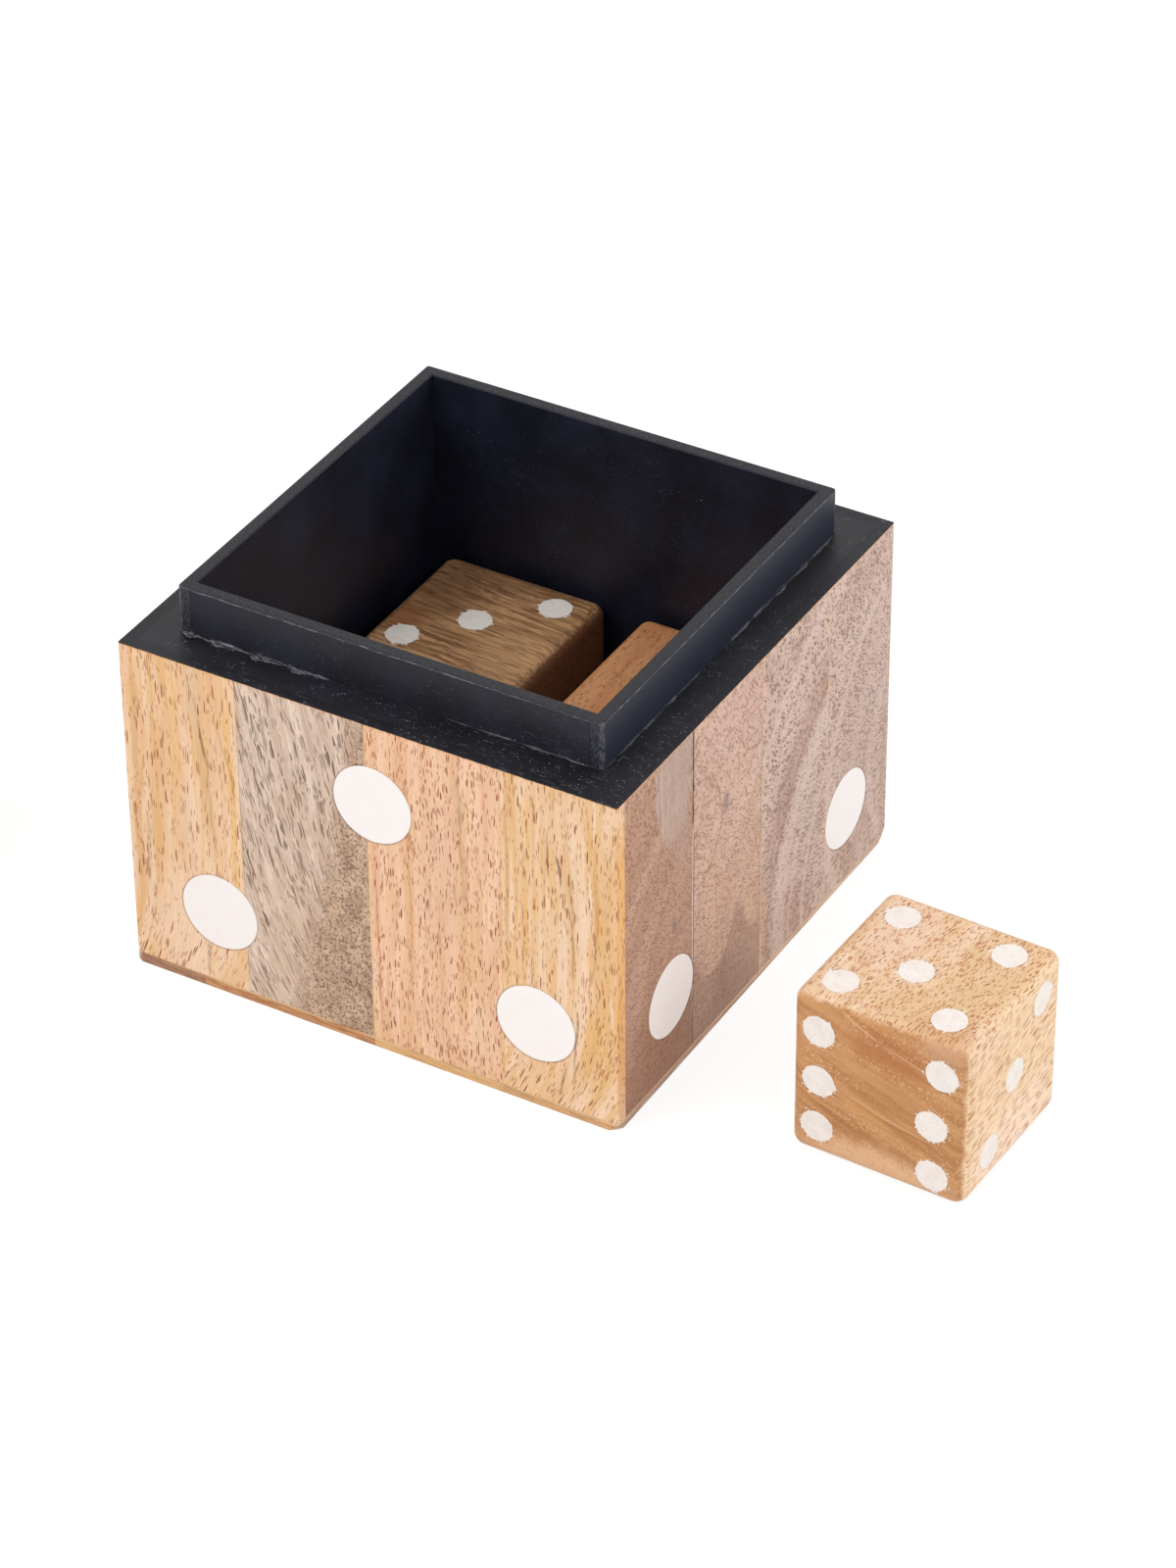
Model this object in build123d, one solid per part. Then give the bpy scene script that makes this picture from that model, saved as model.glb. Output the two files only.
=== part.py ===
from build123d import *
import os

# A cube-shaped wooden dice box in three bodies of work: the open box, its lift-off lid and three dice.
# Millimetres, +Z up, origin at the middle of the box's bottom face. Front is -Y, right is +X.

# Outer cube and the build-up of its walls
CUBE = 120.0                    # width, depth and closed height
LID_HEIGHT = 36.0               # from the ledge on which the lid sits to the top
SLAT_T = 3.0                    # cladding slats and top strips
BASE_T = {                      # base strips, sanded level under walls that are a little out of square
    "front_left": 2.8, "front_right": 2.35, "back_right": 1.0,
}
SIDE_CORE_T = 6.0               # core boards, left and right
FRONT_CORE_T = 7.0              # core boards, front and back
PANEL_T = FRONT_CORE_T          # lid panel, cut from the same stock as the front core board
FLOOR_Z = 10.0                  # inside floor above the box's underside
LINER_T = 3.0                   # liner boards, whose tops form the lip
LIP_RISE = 11.5                 # lip above the ledge
LID_CLEARANCE = 0.4             # between lip and lid wall on each side
EDGE_R = 0.3                    # softened outer edges of the cube
CORNER_R = 1.3                  # edges of the sanded-back corners, where a corner is large enough
CORNER_CUTS = {                 # how far each corner is sanded back, by its signs in x, y and z
    (-1, -1, -1): 0.9, (1, -1, -1): 2.2, (1, 1, -1): 2.5, (-1, 1, -1): 1.8,
    (-1, -1, 1): 2.2, (1, -1, 1): 2.6, (1, 1, 1): 2.2, (-1, 1, 1): 2.4,
}
LIP_CORNER_R = 0.7              # upright corners of the lip
LIP_EDGE_R = 0.5                # top edges of the lip

HALF = CUBE / 2
SPLIT_Z = CUBE - LID_HEIGHT                 # ledge
SKIN = HALF - SLAT_T                        # outer faces of the core boards
LIP_X = SKIN - SIDE_CORE_T                  # outer faces of the lip
LIP_Y = SKIN - FRONT_CORE_T
INNER_X = LIP_X - LINER_T                   # walls of the cavity
INNER_Y = LIP_Y - LINER_T
LIP_Z = SPLIT_Z + LIP_RISE                  # top of the lip
LID_TOP_Z = CUBE - SLAT_T                   # underside of the lid's top strips

# Each outer face, with u to the right and v up as seen from outside (v towards the back on top)
FACES = {
    "front": Plane(origin=(0, -HALF, 0), x_dir=(1, 0, 0), z_dir=(0, -1, 0)),
    "back": Plane(origin=(0, HALF, 0), x_dir=(-1, 0, 0), z_dir=(0, 1, 0)),
    "left": Plane(origin=(-HALF, 0, 0), x_dir=(0, -1, 0), z_dir=(-1, 0, 0)),
    "right": Plane(origin=(HALF, 0, 0), x_dir=(0, 1, 0), z_dir=(1, 0, 0)),
    "top": Plane(origin=(0, 0, CUBE), x_dir=(1, 0, 0), z_dir=(0, 0, 1)),
}
WALLS = ("front", "back", "left", "right")

# Where neighbouring slats meet, from the middle of each face
SLAT_JOINTS = {
    "front": (-31.4, 0.4, 32.5),
    "back": (-32.0, -1.5, 29.5),
    "left": (-29.5, 0.8, 30.6),
    "right": (-28.6, 1.5, 31.0),
    "top": (-30.8, 0.6, 31.2),
}
BASE_JOINTS = (-42.7, 0.4, 32.2)

# Inlaid discs, the pips of the big cube: front 5, back 2, right 4, left 3, top 6
DISC_R = 9.5
DISC_DEPTH = 2.0
DISC_RIM_R = 0.25
DISC_LOW = 21.5                 # outer discs from the edges of a face
DISC_LIFT = 4.0                 # middle disc above the middle of a face
DISC_HIGH = CUBE - DISC_LOW
DISC_U = HALF - DISC_LOW
DISC_MIDDLE = HALF + DISC_LIFT
FACE_DISCS = {
    "front": [(-DISC_U + 0.6, DISC_LOW - 0.1), (DISC_U + 1.8, DISC_LOW + 0.1), (1.7, DISC_MIDDLE),
              (-DISC_U, DISC_HIGH), (DISC_U, DISC_HIGH)],
    "back": [(-DISC_U, DISC_LOW), (DISC_U, DISC_HIGH)],
    "left": [(-DISC_U, DISC_LOW), (0.0, DISC_MIDDLE), (DISC_U, DISC_HIGH)],
    "right": [(-DISC_U + 0.9, DISC_LOW - 0.3), (DISC_U + 2.0, DISC_LOW - 1.3),
              (-DISC_U, DISC_HIGH), (DISC_U, DISC_HIGH)],
    "top": [(u, v) for u in (-DISC_U, DISC_U) for v in (-DISC_U, 0.0, DISC_U)],
}

# The lid, taken off and set down on the table beside the box
LID_GAP = 57.0                  # between the box's left face and the lid
LID_AHEAD = 43.0                # the lid's back face ahead of the box's middle
LID_PLACE = Pos(-CUBE - LID_GAP, -HALF - LID_AHEAD, -SPLIT_Z)

# Dice
DIE = 41.0
DIE_EDGE_R = 3.0
PIP_R = 3.75
PIP_DEPTH = 1.2
PIP_U = 12.5                    # outer pips from the middle of a face
PIPS = {
    1: [(0, 0)],
    2: [(-PIP_U, PIP_U), (PIP_U, -PIP_U)],
    3: [(-PIP_U, PIP_U), (0, 0), (PIP_U, -PIP_U)],
    4: [(u, v) for u in (-PIP_U, PIP_U) for v in (-PIP_U, PIP_U)],
    5: [(0, 0)] + [(u, v) for u in (-PIP_U, PIP_U) for v in (-PIP_U, PIP_U)],
    6: [(u, v) for u in (-PIP_U, PIP_U) for v in (-PIP_U, 0, PIP_U)],
}
DIE_SIDES = {
    "top": Plane(origin=(0, 0, DIE / 2), x_dir=(1, 0, 0), z_dir=(0, 0, 1)),
    "bottom": Plane(origin=(0, 0, -DIE / 2), x_dir=(1, 0, 0), z_dir=(0, 0, -1)),
    "front": Plane(origin=(0, -DIE / 2, 0), x_dir=(1, 0, 0), z_dir=(0, -1, 0)),
    "back": Plane(origin=(0, DIE / 2, 0), x_dir=(-1, 0, 0), z_dir=(0, 1, 0)),
    "right": Plane(origin=(DIE / 2, 0, 0), x_dir=(0, 1, 0), z_dir=(1, 0, 0)),
    "left": Plane(origin=(-DIE / 2, 0, 0), x_dir=(0, -1, 0), z_dir=(-1, 0, 0)),
}
# The two dice in the box share its spare width and stand near its back; the third stands free
SPARE_WIDTH = 2 * (INNER_X - DIE)
SHARE_LEFT = 0.3
SHARE_RIGHT = 0.036
BACK_GAP_STRIPED = 1.4
BACK_GAP_ORANGE = 1.5
FREE_GAP = 33.1                 # free die from the box's right face
FREE_SETBACK = 14.0             # its front behind the box's front
# Resting place (x, y, floor, turn), values on top, front and right, and hand-drilled pips where they drift
DICE = {
    "die_striped": {
        "place": (DIE / 2 - INNER_X + SHARE_LEFT * SPARE_WIDTH,
                  INNER_Y - BACK_GAP_STRIPED - DIE / 2, FLOOR_Z, 0.0),
        "values": (3, 2, 1),
        "drilled": {"top": [(-12.6, -12.7), (-1.4, -0.2), (11.7, 12.5)]},
    },
    "die_orange": {
        "place": (INNER_X - DIE / 2 - SHARE_RIGHT * SPARE_WIDTH,
                  INNER_Y - BACK_GAP_ORANGE - DIE / 2, FLOOR_Z, 0.0),
        "values": (1, 3, 2),
        "drilled": {},
    },
    "die_tan": {
        "place": (HALF + FREE_GAP + DIE / 2, FREE_SETBACK + DIE / 2 - HALF, 0.0, -2.0),
        "values": (5, 6, 3),
        "drilled": {
            "top": [(-13.0, 12.3), (12.0, 12.5), (-1.7, -2.1), (-13.2, -13.0), (11.9, -12.7)],
            "front": [(-14.0, 12.0), (-13.8, -0.8), (-14.0, -12.8),
                      (14.7, 12.3), (12.7, -1.6), (13.2, -14.4)],
            "right": [(11.7, 13.3), (0.5, 0.9), (-9.4, -12.5)],
        },
    },
}

nodes = {}


def add(name, *shapes):
    """Keep the solids of one node under its name."""
    nodes[name] = [solid for shape in shapes for solid in shape.solids()]


def block(x, y, z):
    """Box between two limits along each axis."""
    size = [high - low for low, high in (x, y, z)]
    return Pos(x[0], y[0], z[0]) * Box(*size, align=(Align.MIN, Align.MIN, Align.MIN))


def board(face, u, v, thickness):
    """Board flush with an outer face: u along it, v up it, thickness inward."""
    slab = Box(u[1] - u[0], v[1] - v[0], thickness, align=(Align.MIN, Align.MIN, Align.MAX))
    return FACES[face] * Pos(u[0], v[0], 0) * slab


def softened_cube():
    """The closed cube with sanded corners and softened edges."""
    cube = Pos(0, 0, HALF) * Box(CUBE, CUBE, CUBE)
    for signs, cut in CORNER_CUTS.items():
        outward = Vector(*signs)
        corner = Vector(0, 0, HALF) + outward * HALF
        tip = Plane(origin=corner - Vector(signs[0] * cut, 0, 0), z_dir=outward)
        cube = split(cube, bisect_by=tip, keep=Keep.BOTTOM)
    for signs, cut in CORNER_CUTS.items():
        corner = Vector(0, 0, HALF) + Vector(*signs) * HALF
        tip_edges = cube.edges().sort_by_distance(corner)[:3]
        cube = fillet(tip_edges, min(CORNER_R, cut / 2))
    return fillet(cube.edges().filter_by(lambda edge: edge.length > HALF), EDGE_R)


def disc(plane, u, v, radius, depth, rim=0.0):
    """Inlaid disc flush with a plane, with an optional rounded rim."""
    plug = Cylinder(radius, depth, align=(Align.CENTER, Align.CENTER, Align.MAX))
    if rim:
        plug = fillet(plug.edges().group_by(Axis.Z)[-1], rim)
    return plane * Pos(u, v, 0) * plug


def discs_between(face, low, high, rim=0.0):
    """Discs of a face whose centres lie between two heights (all of them on the top face)."""
    return [disc(FACES[face], u, v, DISC_R, DISC_DEPTH, rim)
            for u, v in FACE_DISCS[face] if face == "top" or low < v < high]


def slats(face, low, high):
    """Four cladding slats of a wall, front and back lapping the ends of the sides."""
    end = HALF if face in ("front", "back", "top") else SKIN
    limits = (-end, *SLAT_JOINTS[face], end)
    pockets = discs_between(face, low, high)
    return [(board(face, u, (low, high), SLAT_T) & cube_body) - pockets
            for u in zip(limits, limits[1:])]


def core_boards(side_inner, front_inner, low, high):
    """Four core boards: the sides run full depth, front and back are caught between them."""
    return {
        "left": block((-SKIN, -side_inner), (-SKIN, SKIN), (low, high)),
        "right": block((side_inner, SKIN), (-SKIN, SKIN), (low, high)),
        "front": block((-side_inner, side_inner), (-SKIN, -front_inner), (low, high)),
        "back": block((-side_inner, side_inner), (front_inner, SKIN), (low, high)),
    }


def base_and_walls():
    """The box's room in two parts, the base below its slightly tilted top and the walls above it."""
    corners = {"front_left": (-HALF, -HALF), "front_right": (HALF, -HALF), "back_right": (HALF, HALF)}
    left, middle, back = [Vector(*corners[place], rise) for place, rise in BASE_T.items()]
    seat = Plane(origin=middle, z_dir=(middle - left).cross(back - middle))
    room = block((-HALF, HALF), (-HALF, HALF), (0, SPLIT_Z))
    return split(room, bisect_by=seat, keep=Keep.BOTTOM), split(room, bisect_by=seat, keep=Keep.TOP)


def build_box_shell():
    """Cladding, base strips, core boards and floor of the box."""
    base, walls = base_and_walls()
    for wall, core in core_boards(LIP_X, LIP_Y, 0, SPLIT_Z).items():
        add(f"box_core_{wall}", core & walls)
    add("box_floor", block((-LIP_X, LIP_X), (-LIP_Y, LIP_Y), (0, FLOOR_Z)) & walls)
    for wall in WALLS:
        for number, slat in enumerate(slats(wall, 0, SPLIT_Z), 1):
            add(f"box_slat_{wall}_{number}", slat & walls)
        add(f"box_discs_{wall}", *discs_between(wall, 0, SPLIT_Z, DISC_RIM_R))
    limits = (-HALF, *BASE_JOINTS, HALF)
    for number, x in enumerate(zip(limits, limits[1:]), 1):
        add(f"box_base_strip_{number}", block(x, (-HALF, HALF), (0, SPLIT_Z)) & cube_body & base)


def build_lip():
    """Liner boards standing on the floor, with their softened tops above the ledge."""
    outer = block((-LIP_X, LIP_X), (-LIP_Y, LIP_Y), (FLOOR_Z, LIP_Z))
    outer = fillet(outer.edges().filter_by(Axis.Z), LIP_CORNER_R)
    ring = outer - block((-INNER_X, INNER_X), (-INNER_Y, INNER_Y), (FLOOR_Z, LIP_Z))
    ring = fillet(ring.edges().group_by(Axis.Z)[-1], LIP_EDGE_R)
    height = (FLOOR_Z, LIP_Z)
    add("box_liner_left", ring & block((-LIP_X, -INNER_X), (-LIP_Y, LIP_Y), height))
    add("box_liner_right", ring & block((INNER_X, LIP_X), (-LIP_Y, LIP_Y), height))
    add("box_liner_front", ring & block((-INNER_X, INNER_X), (-LIP_Y, -INNER_Y), height))
    add("box_liner_back", ring & block((-INNER_X, INNER_X), (INNER_Y, LIP_Y), height))


def build_lid():
    """Lid, made on the box in its closed place and then set down beside it."""
    wall_x, wall_y = LIP_X + LID_CLEARANCE, LIP_Y + LID_CLEARANCE
    for wall, core in core_boards(wall_x, wall_y, SPLIT_Z, LID_TOP_Z).items():
        add(f"lid_core_{wall}", LID_PLACE * core)
    panel = block((-wall_x, wall_x), (-wall_y, wall_y), (LID_TOP_Z - PANEL_T, LID_TOP_Z))
    add("lid_panel", LID_PLACE * panel)
    for wall in WALLS:
        add(f"lid_slats_{wall}", *[LID_PLACE * slat for slat in slats(wall, SPLIT_Z, LID_TOP_Z)])
        add(f"lid_discs_{wall}",
            *[LID_PLACE * plug for plug in discs_between(wall, SPLIT_Z, LID_TOP_Z, DISC_RIM_R)])
    for number, strip in enumerate(slats("top", -HALF, HALF), 1):
        add(f"lid_top_strip_{number}", LID_PLACE * strip)
    add("lid_discs_top", *[LID_PLACE * plug for plug in discs_between("top", 0, 0, DISC_RIM_R)])


def build_die(name, place, values, drilled):
    """One die: a rounded cube with flush filler pips, opposite sides adding up to seven."""
    x, y, floor, turn = place
    top, front, right = values
    sides = {"top": top, "bottom": 7 - top, "front": front, "back": 7 - front,
             "right": right, "left": 7 - right}
    cube = Box(DIE, DIE, DIE)
    cube = fillet(cube.edges(), DIE_EDGE_R)
    plugs = [disc(DIE_SIDES[side], u, v, PIP_R, PIP_DEPTH)
             for side, value in sides.items() for u, v in drilled.get(side, PIPS[value])]
    seat = Pos(x, y, floor + DIE / 2) * Rot(0, 0, turn)
    add(f"{name}_body", seat * (cube - plugs))
    add(f"{name}_pips", *[seat * (plug & cube) for plug in plugs])


cube_body = softened_cube()
build_box_shell()
build_lip()
build_lid()
for die_name, die in DICE.items():
    build_die(die_name, **die)

os.makedirs("parts", exist_ok=True)
for node_name, solids in nodes.items():
    export_step(solids[0] if len(solids) == 1 else Compound(children=solids), f"parts/{node_name}.step")
print(len(nodes), "nodes,", sum(len(solids) for solids in nodes.values()), "solids")
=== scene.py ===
import logging
import math
from dataclasses import dataclass, field
from enum import Enum
from functools import reduce
from typing import Callable, Optional, Union

import bpy
import numpy as np
from mathutils import Matrix, Vector


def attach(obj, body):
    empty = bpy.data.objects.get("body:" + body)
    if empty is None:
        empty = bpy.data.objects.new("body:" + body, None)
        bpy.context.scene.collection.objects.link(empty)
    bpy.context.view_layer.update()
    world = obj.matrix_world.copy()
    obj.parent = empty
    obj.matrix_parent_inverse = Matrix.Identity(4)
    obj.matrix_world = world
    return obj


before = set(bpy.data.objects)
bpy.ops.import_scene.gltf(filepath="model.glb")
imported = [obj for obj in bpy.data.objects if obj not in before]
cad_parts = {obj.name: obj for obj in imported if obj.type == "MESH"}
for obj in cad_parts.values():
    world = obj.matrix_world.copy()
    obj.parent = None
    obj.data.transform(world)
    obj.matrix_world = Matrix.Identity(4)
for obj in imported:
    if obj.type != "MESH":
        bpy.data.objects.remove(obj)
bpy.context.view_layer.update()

# Sizes below are millimetres in the model's own frame; MM brings them to metres.
MM = 0.001
HALF = 60.0                     # half of the closed cube
SPLIT_Z = 84.0                  # ledge on which the lid sits
LIP_X, LIP_Y, LIP_Z = 51.0, 50.0, 95.5
LID_AT = (-177.0, -103.0)       # middle of the lid where it lies
DISC_R = 9.5
DIE = 41.0
PIP_R = 3.75
PIP_U = 12.5                    # outer pips from the middle of a die's face
LINER_T = 3.0                   # boards of the lip
RING_SPREAD = 55.0              # mm along a growth ring for each radian about its heart

log = logging.getLogger("dice_box")

Operand = Union["Signal", float, tuple]
Colour = tuple[float, float, float, float]


def shade(code: str) -> Colour:
    """Linear colour of a six-figure sRGB hex code."""
    channels = [int(code[i:i + 2], 16) / 255 for i in (0, 2, 4)]
    linear = [c / 12.92 if c <= 0.04045 else ((c + 0.055) / 1.055) ** 2.4 for c in channels]
    return (*linear, 1.0)


class Signal:
    """An output socket of a material's nodes; arithmetic on it adds Math or Vector Math nodes."""

    def __init__(self, bench: "Bench", socket: bpy.types.NodeSocket) -> None:
        """Wraps one socket of the bench's tree."""
        self.bench = bench
        self.socket = socket

    @property
    def is_vector(self) -> bool:
        """True for a vector or a colour."""
        return self.socket.type in {"VECTOR", "RGBA"}

    def _join(self, operation: str, other: Operand, reflected: bool = False) -> "Signal":
        """Adds the node of one operation.

        Args:
            operation: name of the Math or Vector Math operation.
            other: the second operand, a signal, a number or three numbers.
            reflected: whether the other operand comes first.

        Returns:
            The result as a signal.
        """
        pair = [other, self] if reflected else [self, other]
        if any(isinstance(term, tuple) or (isinstance(term, Signal) and term.is_vector) for term in pair):
            pair = [(term,) * 3 if isinstance(term, (int, float)) else term for term in pair]
            return self.bench.node("ShaderNodeVectorMath", {"operation": operation}, dict(enumerate(pair)))
        return self.bench.node("ShaderNodeMath", {"operation": operation}, dict(enumerate(pair)))

    def __add__(self, other: Operand) -> "Signal":
        """Sum."""
        return self._join("ADD", other)

    __radd__ = __add__

    def __sub__(self, other: Operand) -> "Signal":
        """Difference."""
        return self._join("SUBTRACT", other)

    def __rsub__(self, other: Operand) -> "Signal":
        """Reflected difference, as in 1 - mask."""
        return self._join("SUBTRACT", other, reflected=True)

    def __mul__(self, other: Operand) -> "Signal":
        """Product, part by part."""
        return self._join("MULTIPLY", other)

    __rmul__ = __mul__

    def __truediv__(self, other: Operand) -> "Signal":
        """Quotient, part by part."""
        return self._join("DIVIDE", other)

    def __abs__(self) -> "Signal":
        """Size without sign."""
        return self.bench.node("ShaderNodeMath", {"operation": "ABSOLUTE"}, {0: self})

    def least(self, other: Operand) -> "Signal":
        """The smaller of the two."""
        return self._join("MINIMUM", other)

    def most(self, other: Operand) -> "Signal":
        """The larger of the two."""
        return self._join("MAXIMUM", other)

    def part(self, axis: str) -> "Signal":
        """One component, X, Y or Z, of a vector."""
        return self.bench.node("ShaderNodeSeparateXYZ", {}, {0: self}, "XYZ".index(axis))

    def distance(self, place: tuple[float, float, float]) -> "Signal":
        """Distance of a point from a place."""
        return self.bench.node("ShaderNodeVectorMath", {"operation": "DISTANCE"}, {0: self, 1: place}, 1)

    def fade(self, low: float, high: float) -> "Signal":
        """Smooth step from 0 at low to 1 at high.

        Args:
            low: where it is 0; it may be the larger, which turns the step round.
            high: where it is 1.

        Returns:
            The step.
        """
        if low > high:
            return 1 - self.fade(high, low)
        return self.bench.node("ShaderNodeMapRange", {"interpolation_type": "SMOOTHSTEP"},
                               {0: self, 1: low, 2: high, 3: 0.0, 4: 1.0})


class Bench:
    """The node tree of a material or a sky, and the methods that add to it."""

    def __init__(self, name: str, sky: bool = False) -> None:
        """Makes an empty material, or sky, of that name."""
        self.owner = (bpy.data.worlds if sky else bpy.data.materials).new(name)
        self.owner.use_nodes = True
        self.end = "ShaderNodeOutputWorld" if sky else "ShaderNodeOutputMaterial"
        self.tree = self.owner.node_tree
        self.tree.nodes.clear()

    def node(self, kind: str, settings: Optional[dict] = None, sockets: Optional[dict] = None,
             output: int = 0) -> Signal:
        """Adds any node.

        Args:
            kind: the node's type name.
            settings: properties that are set first.
            sockets: value or signal of each input, by name or number.
            output: number of the output that is wanted.

        Returns:
            That output as a signal.
        """
        made = self.tree.nodes.new(kind)
        for key, value in (settings or {}).items():
            setattr(made, key, value)
        for key, value in (sockets or {}).items():
            if isinstance(value, Signal):
                self.tree.links.new(value.socket, made.inputs[key])
            else:
                made.inputs[key].default_value = value
        return Signal(self, made.outputs[output])

    def point(self, centre: tuple[float, float, float] = (0.0, 0.0, 0.0), turn: float = 0.0) -> Signal:
        """Object coordinates in millimetres from a centre, turned about Z.

        Args:
            centre: origin of the pattern, mm.
            turn: angle of the piece about Z, degrees.

        Returns:
            The point as a vector.
        """
        raw = self.node("ShaderNodeTexCoord", output=3)
        return self.node("ShaderNodeMapping", {"vector_type": "TEXTURE"}, {
            0: raw, 1: tuple(c * MM for c in centre), 2: (0.0, 0.0, math.radians(turn)), 3: (MM,) * 3})

    def join(self, x: Operand, y: Operand, z: Operand) -> Signal:
        """Vector of three values."""
        return self.node("ShaderNodeCombineXYZ", {}, {0: x, 1: y, 2: z})

    def noise(self, where: Signal, size: Union[float, tuple], detail: float = 2.0, rough: float = 0.5,
              seed: float = 0.0) -> Signal:
        """Smooth noise of about 0 to 1.

        Args:
            where: point in mm.
            size: size of its features, mm, one number or one for each axis.
            detail: octaves added.
            rough: weight of each further octave.
            seed: shift that gives another pattern.

        Returns:
            The value.
        """
        spread = size if isinstance(size, tuple) else (size,) * 3
        moved = where * tuple(1 / s for s in spread) + (seed * 7.31, seed * 3.17, seed * 5.71)
        return self.node("ShaderNodeTexNoise", {"noise_dimensions": "3D"},
                         {"Vector": moved, "Scale": 1.0, "Detail": detail, "Roughness": rough})

    def cells(self, where: Signal, output: int) -> Signal:
        """Scatter of one point to each unit cell: output 0 is the distance to the nearest, 1 its own colour."""
        return self.node("ShaderNodeTexVoronoi", {"feature": "F1", "voronoi_dimensions": "3D"},
                         {"Vector": where, "Scale": 1.0}, output)

    def specks(self, where: Signal, spacing: float, radius: float, share: float, seed: float = 0.0) -> Signal:
        """Round dots strewn at random: the distance to the nearest of the scattered points, cut off at a radius
        that differs from dot to dot.

        Args:
            where: point in mm.
            spacing: mean distance between the points, mm.
            radius: largest radius of a dot, mm.
            share: part of the points that show.
            seed: shift that gives another pattern.

        Returns:
            1 in a dot, 0 outside.
        """
        moved = where * (1 / spacing) + (seed, seed * 0.7, seed * 1.3)
        size = self.cells(moved, 1).part("X").fade(1 - share, 1.0) * (radius / spacing)
        return (size - self.cells(moved, 0)).fade(0.0, 0.25 * radius / spacing)

    def mix(self, factor: Operand, first: Operand, second: Operand) -> Signal:
        """Mix of two colours: factor 0 gives the first, 1 the second."""
        return self.node("ShaderNodeMix", {"data_type": "RGBA"}, {0: factor, 6: first, 7: second}, 2)

    def finish(self, surface: Signal) -> Union[bpy.types.Material, bpy.types.World]:
        """Links a shader to the output.

        Args:
            surface: the shader.

        Returns:
            The material or sky that the tree belongs to.
        """
        end = self.tree.nodes.new(self.end)
        self.tree.links.new(surface.socket, end.inputs["Surface"])
        return self.owner

    def seen(self) -> Signal:
        """1 for what the camera, a reflection or a see-through surface shows, 0 for the light it gives."""
        rays = [self.node("ShaderNodeLightPath", output=number) for number in (0, 3, 6)]
        return rays[0].most(rays[1]).most(rays[2])


def assign(node: str, material: bpy.types.Material) -> None:
    """Gives a CAD node's object one material, in place of any that it has.

    Args:
        node: name of the CAD node.
        material: the material.
    """
    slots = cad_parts[node].data.materials
    slots.clear()
    slots.append(material)
    log.info("%s wears %s", node, material.name)


@dataclass(frozen=True)
class Finish:
    """What is the same all over a surface: height of its relief, mm, and specular level."""

    relief: float
    specular: float = 0.5


SEALED_WOOD = Finish(0.06, 0.35)
LID_PAINT = Finish(0.05)
BOARD_PAINT = Finish(0.05, 0.44)
LINER_PAINT = Finish(0.05, 0.42)
BEAD_PAINT = Finish(0.08)
PIP_FILLER = Finish(0.05, 0.3)
DISC_RESIN = Finish(0.004, 0.45)


@dataclass(frozen=True)
class Coat:
    """What a surface shows at a point: colour, roughness and relief."""

    colour: Signal
    roughness: Operand
    height: Signal

    def over(self, bench: Bench, mask: Signal, under: "Coat") -> "Coat":
        """Lays this coat over another.

        Args:
            bench: material being made.
            mask: 1 where this coat shows, 0 where the other does.
            under: the other coat.

        Returns:
            The two together.
        """
        return Coat(bench.mix(mask, under.colour, self.colour),
                    under.roughness * (1 - mask) + mask * self.roughness,
                    under.height * (1 - mask) + mask * self.height)

    def tinted(self, bench: Bench, mask: Operand, tint: Union[str, Signal],
               sunk: Optional[Signal] = None) -> "Coat":
        """The coat with another colour laid over it.

        Args:
            bench: material being made.
            mask: weight of the other colour.
            tint: the other colour, as a hex code or a signal.
            sunk: how far the relief is lowered, or None.

        Returns:
            The coat.
        """
        colour = shade(tint) if isinstance(tint, str) else tint
        return Coat(bench.mix(mask, self.colour, colour), self.roughness,
                    self.height if sunk is None else self.height - sunk)

    def close(self, bench: Bench, finish: Finish) -> bpy.types.Material:
        """Ends a material with its shader.

        Args:
            bench: material being made.
            finish: relief and gloss, the same all over.

        Returns:
            The finished material.
        """
        normal = bench.node("ShaderNodeBump", {}, {
            "Strength": 1.0, "Distance": finish.relief * MM, "Height": self.height})
        return bench.finish(bench.node("ShaderNodeBsdfPrincipled", {}, {
            "Base Color": self.colour, "Roughness": self.roughness, "Normal": normal,
            "Specular IOR Level": finish.specular}))


class Grain(Enum):
    """Axis a board's grain runs along, after the two axes across it."""

    ALONG_X = ("Y", "Z", "X")
    ALONG_Y = ("X", "Z", "Y")
    ALONG_Z = ("X", "Y", "Z")

    def place(self, bench: Bench, point: Signal) -> Signal:
        """The point as a vector of the two ways across and the way along the grain."""
        return bench.join(*(point.part(axis) for axis in self.value))


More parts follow.
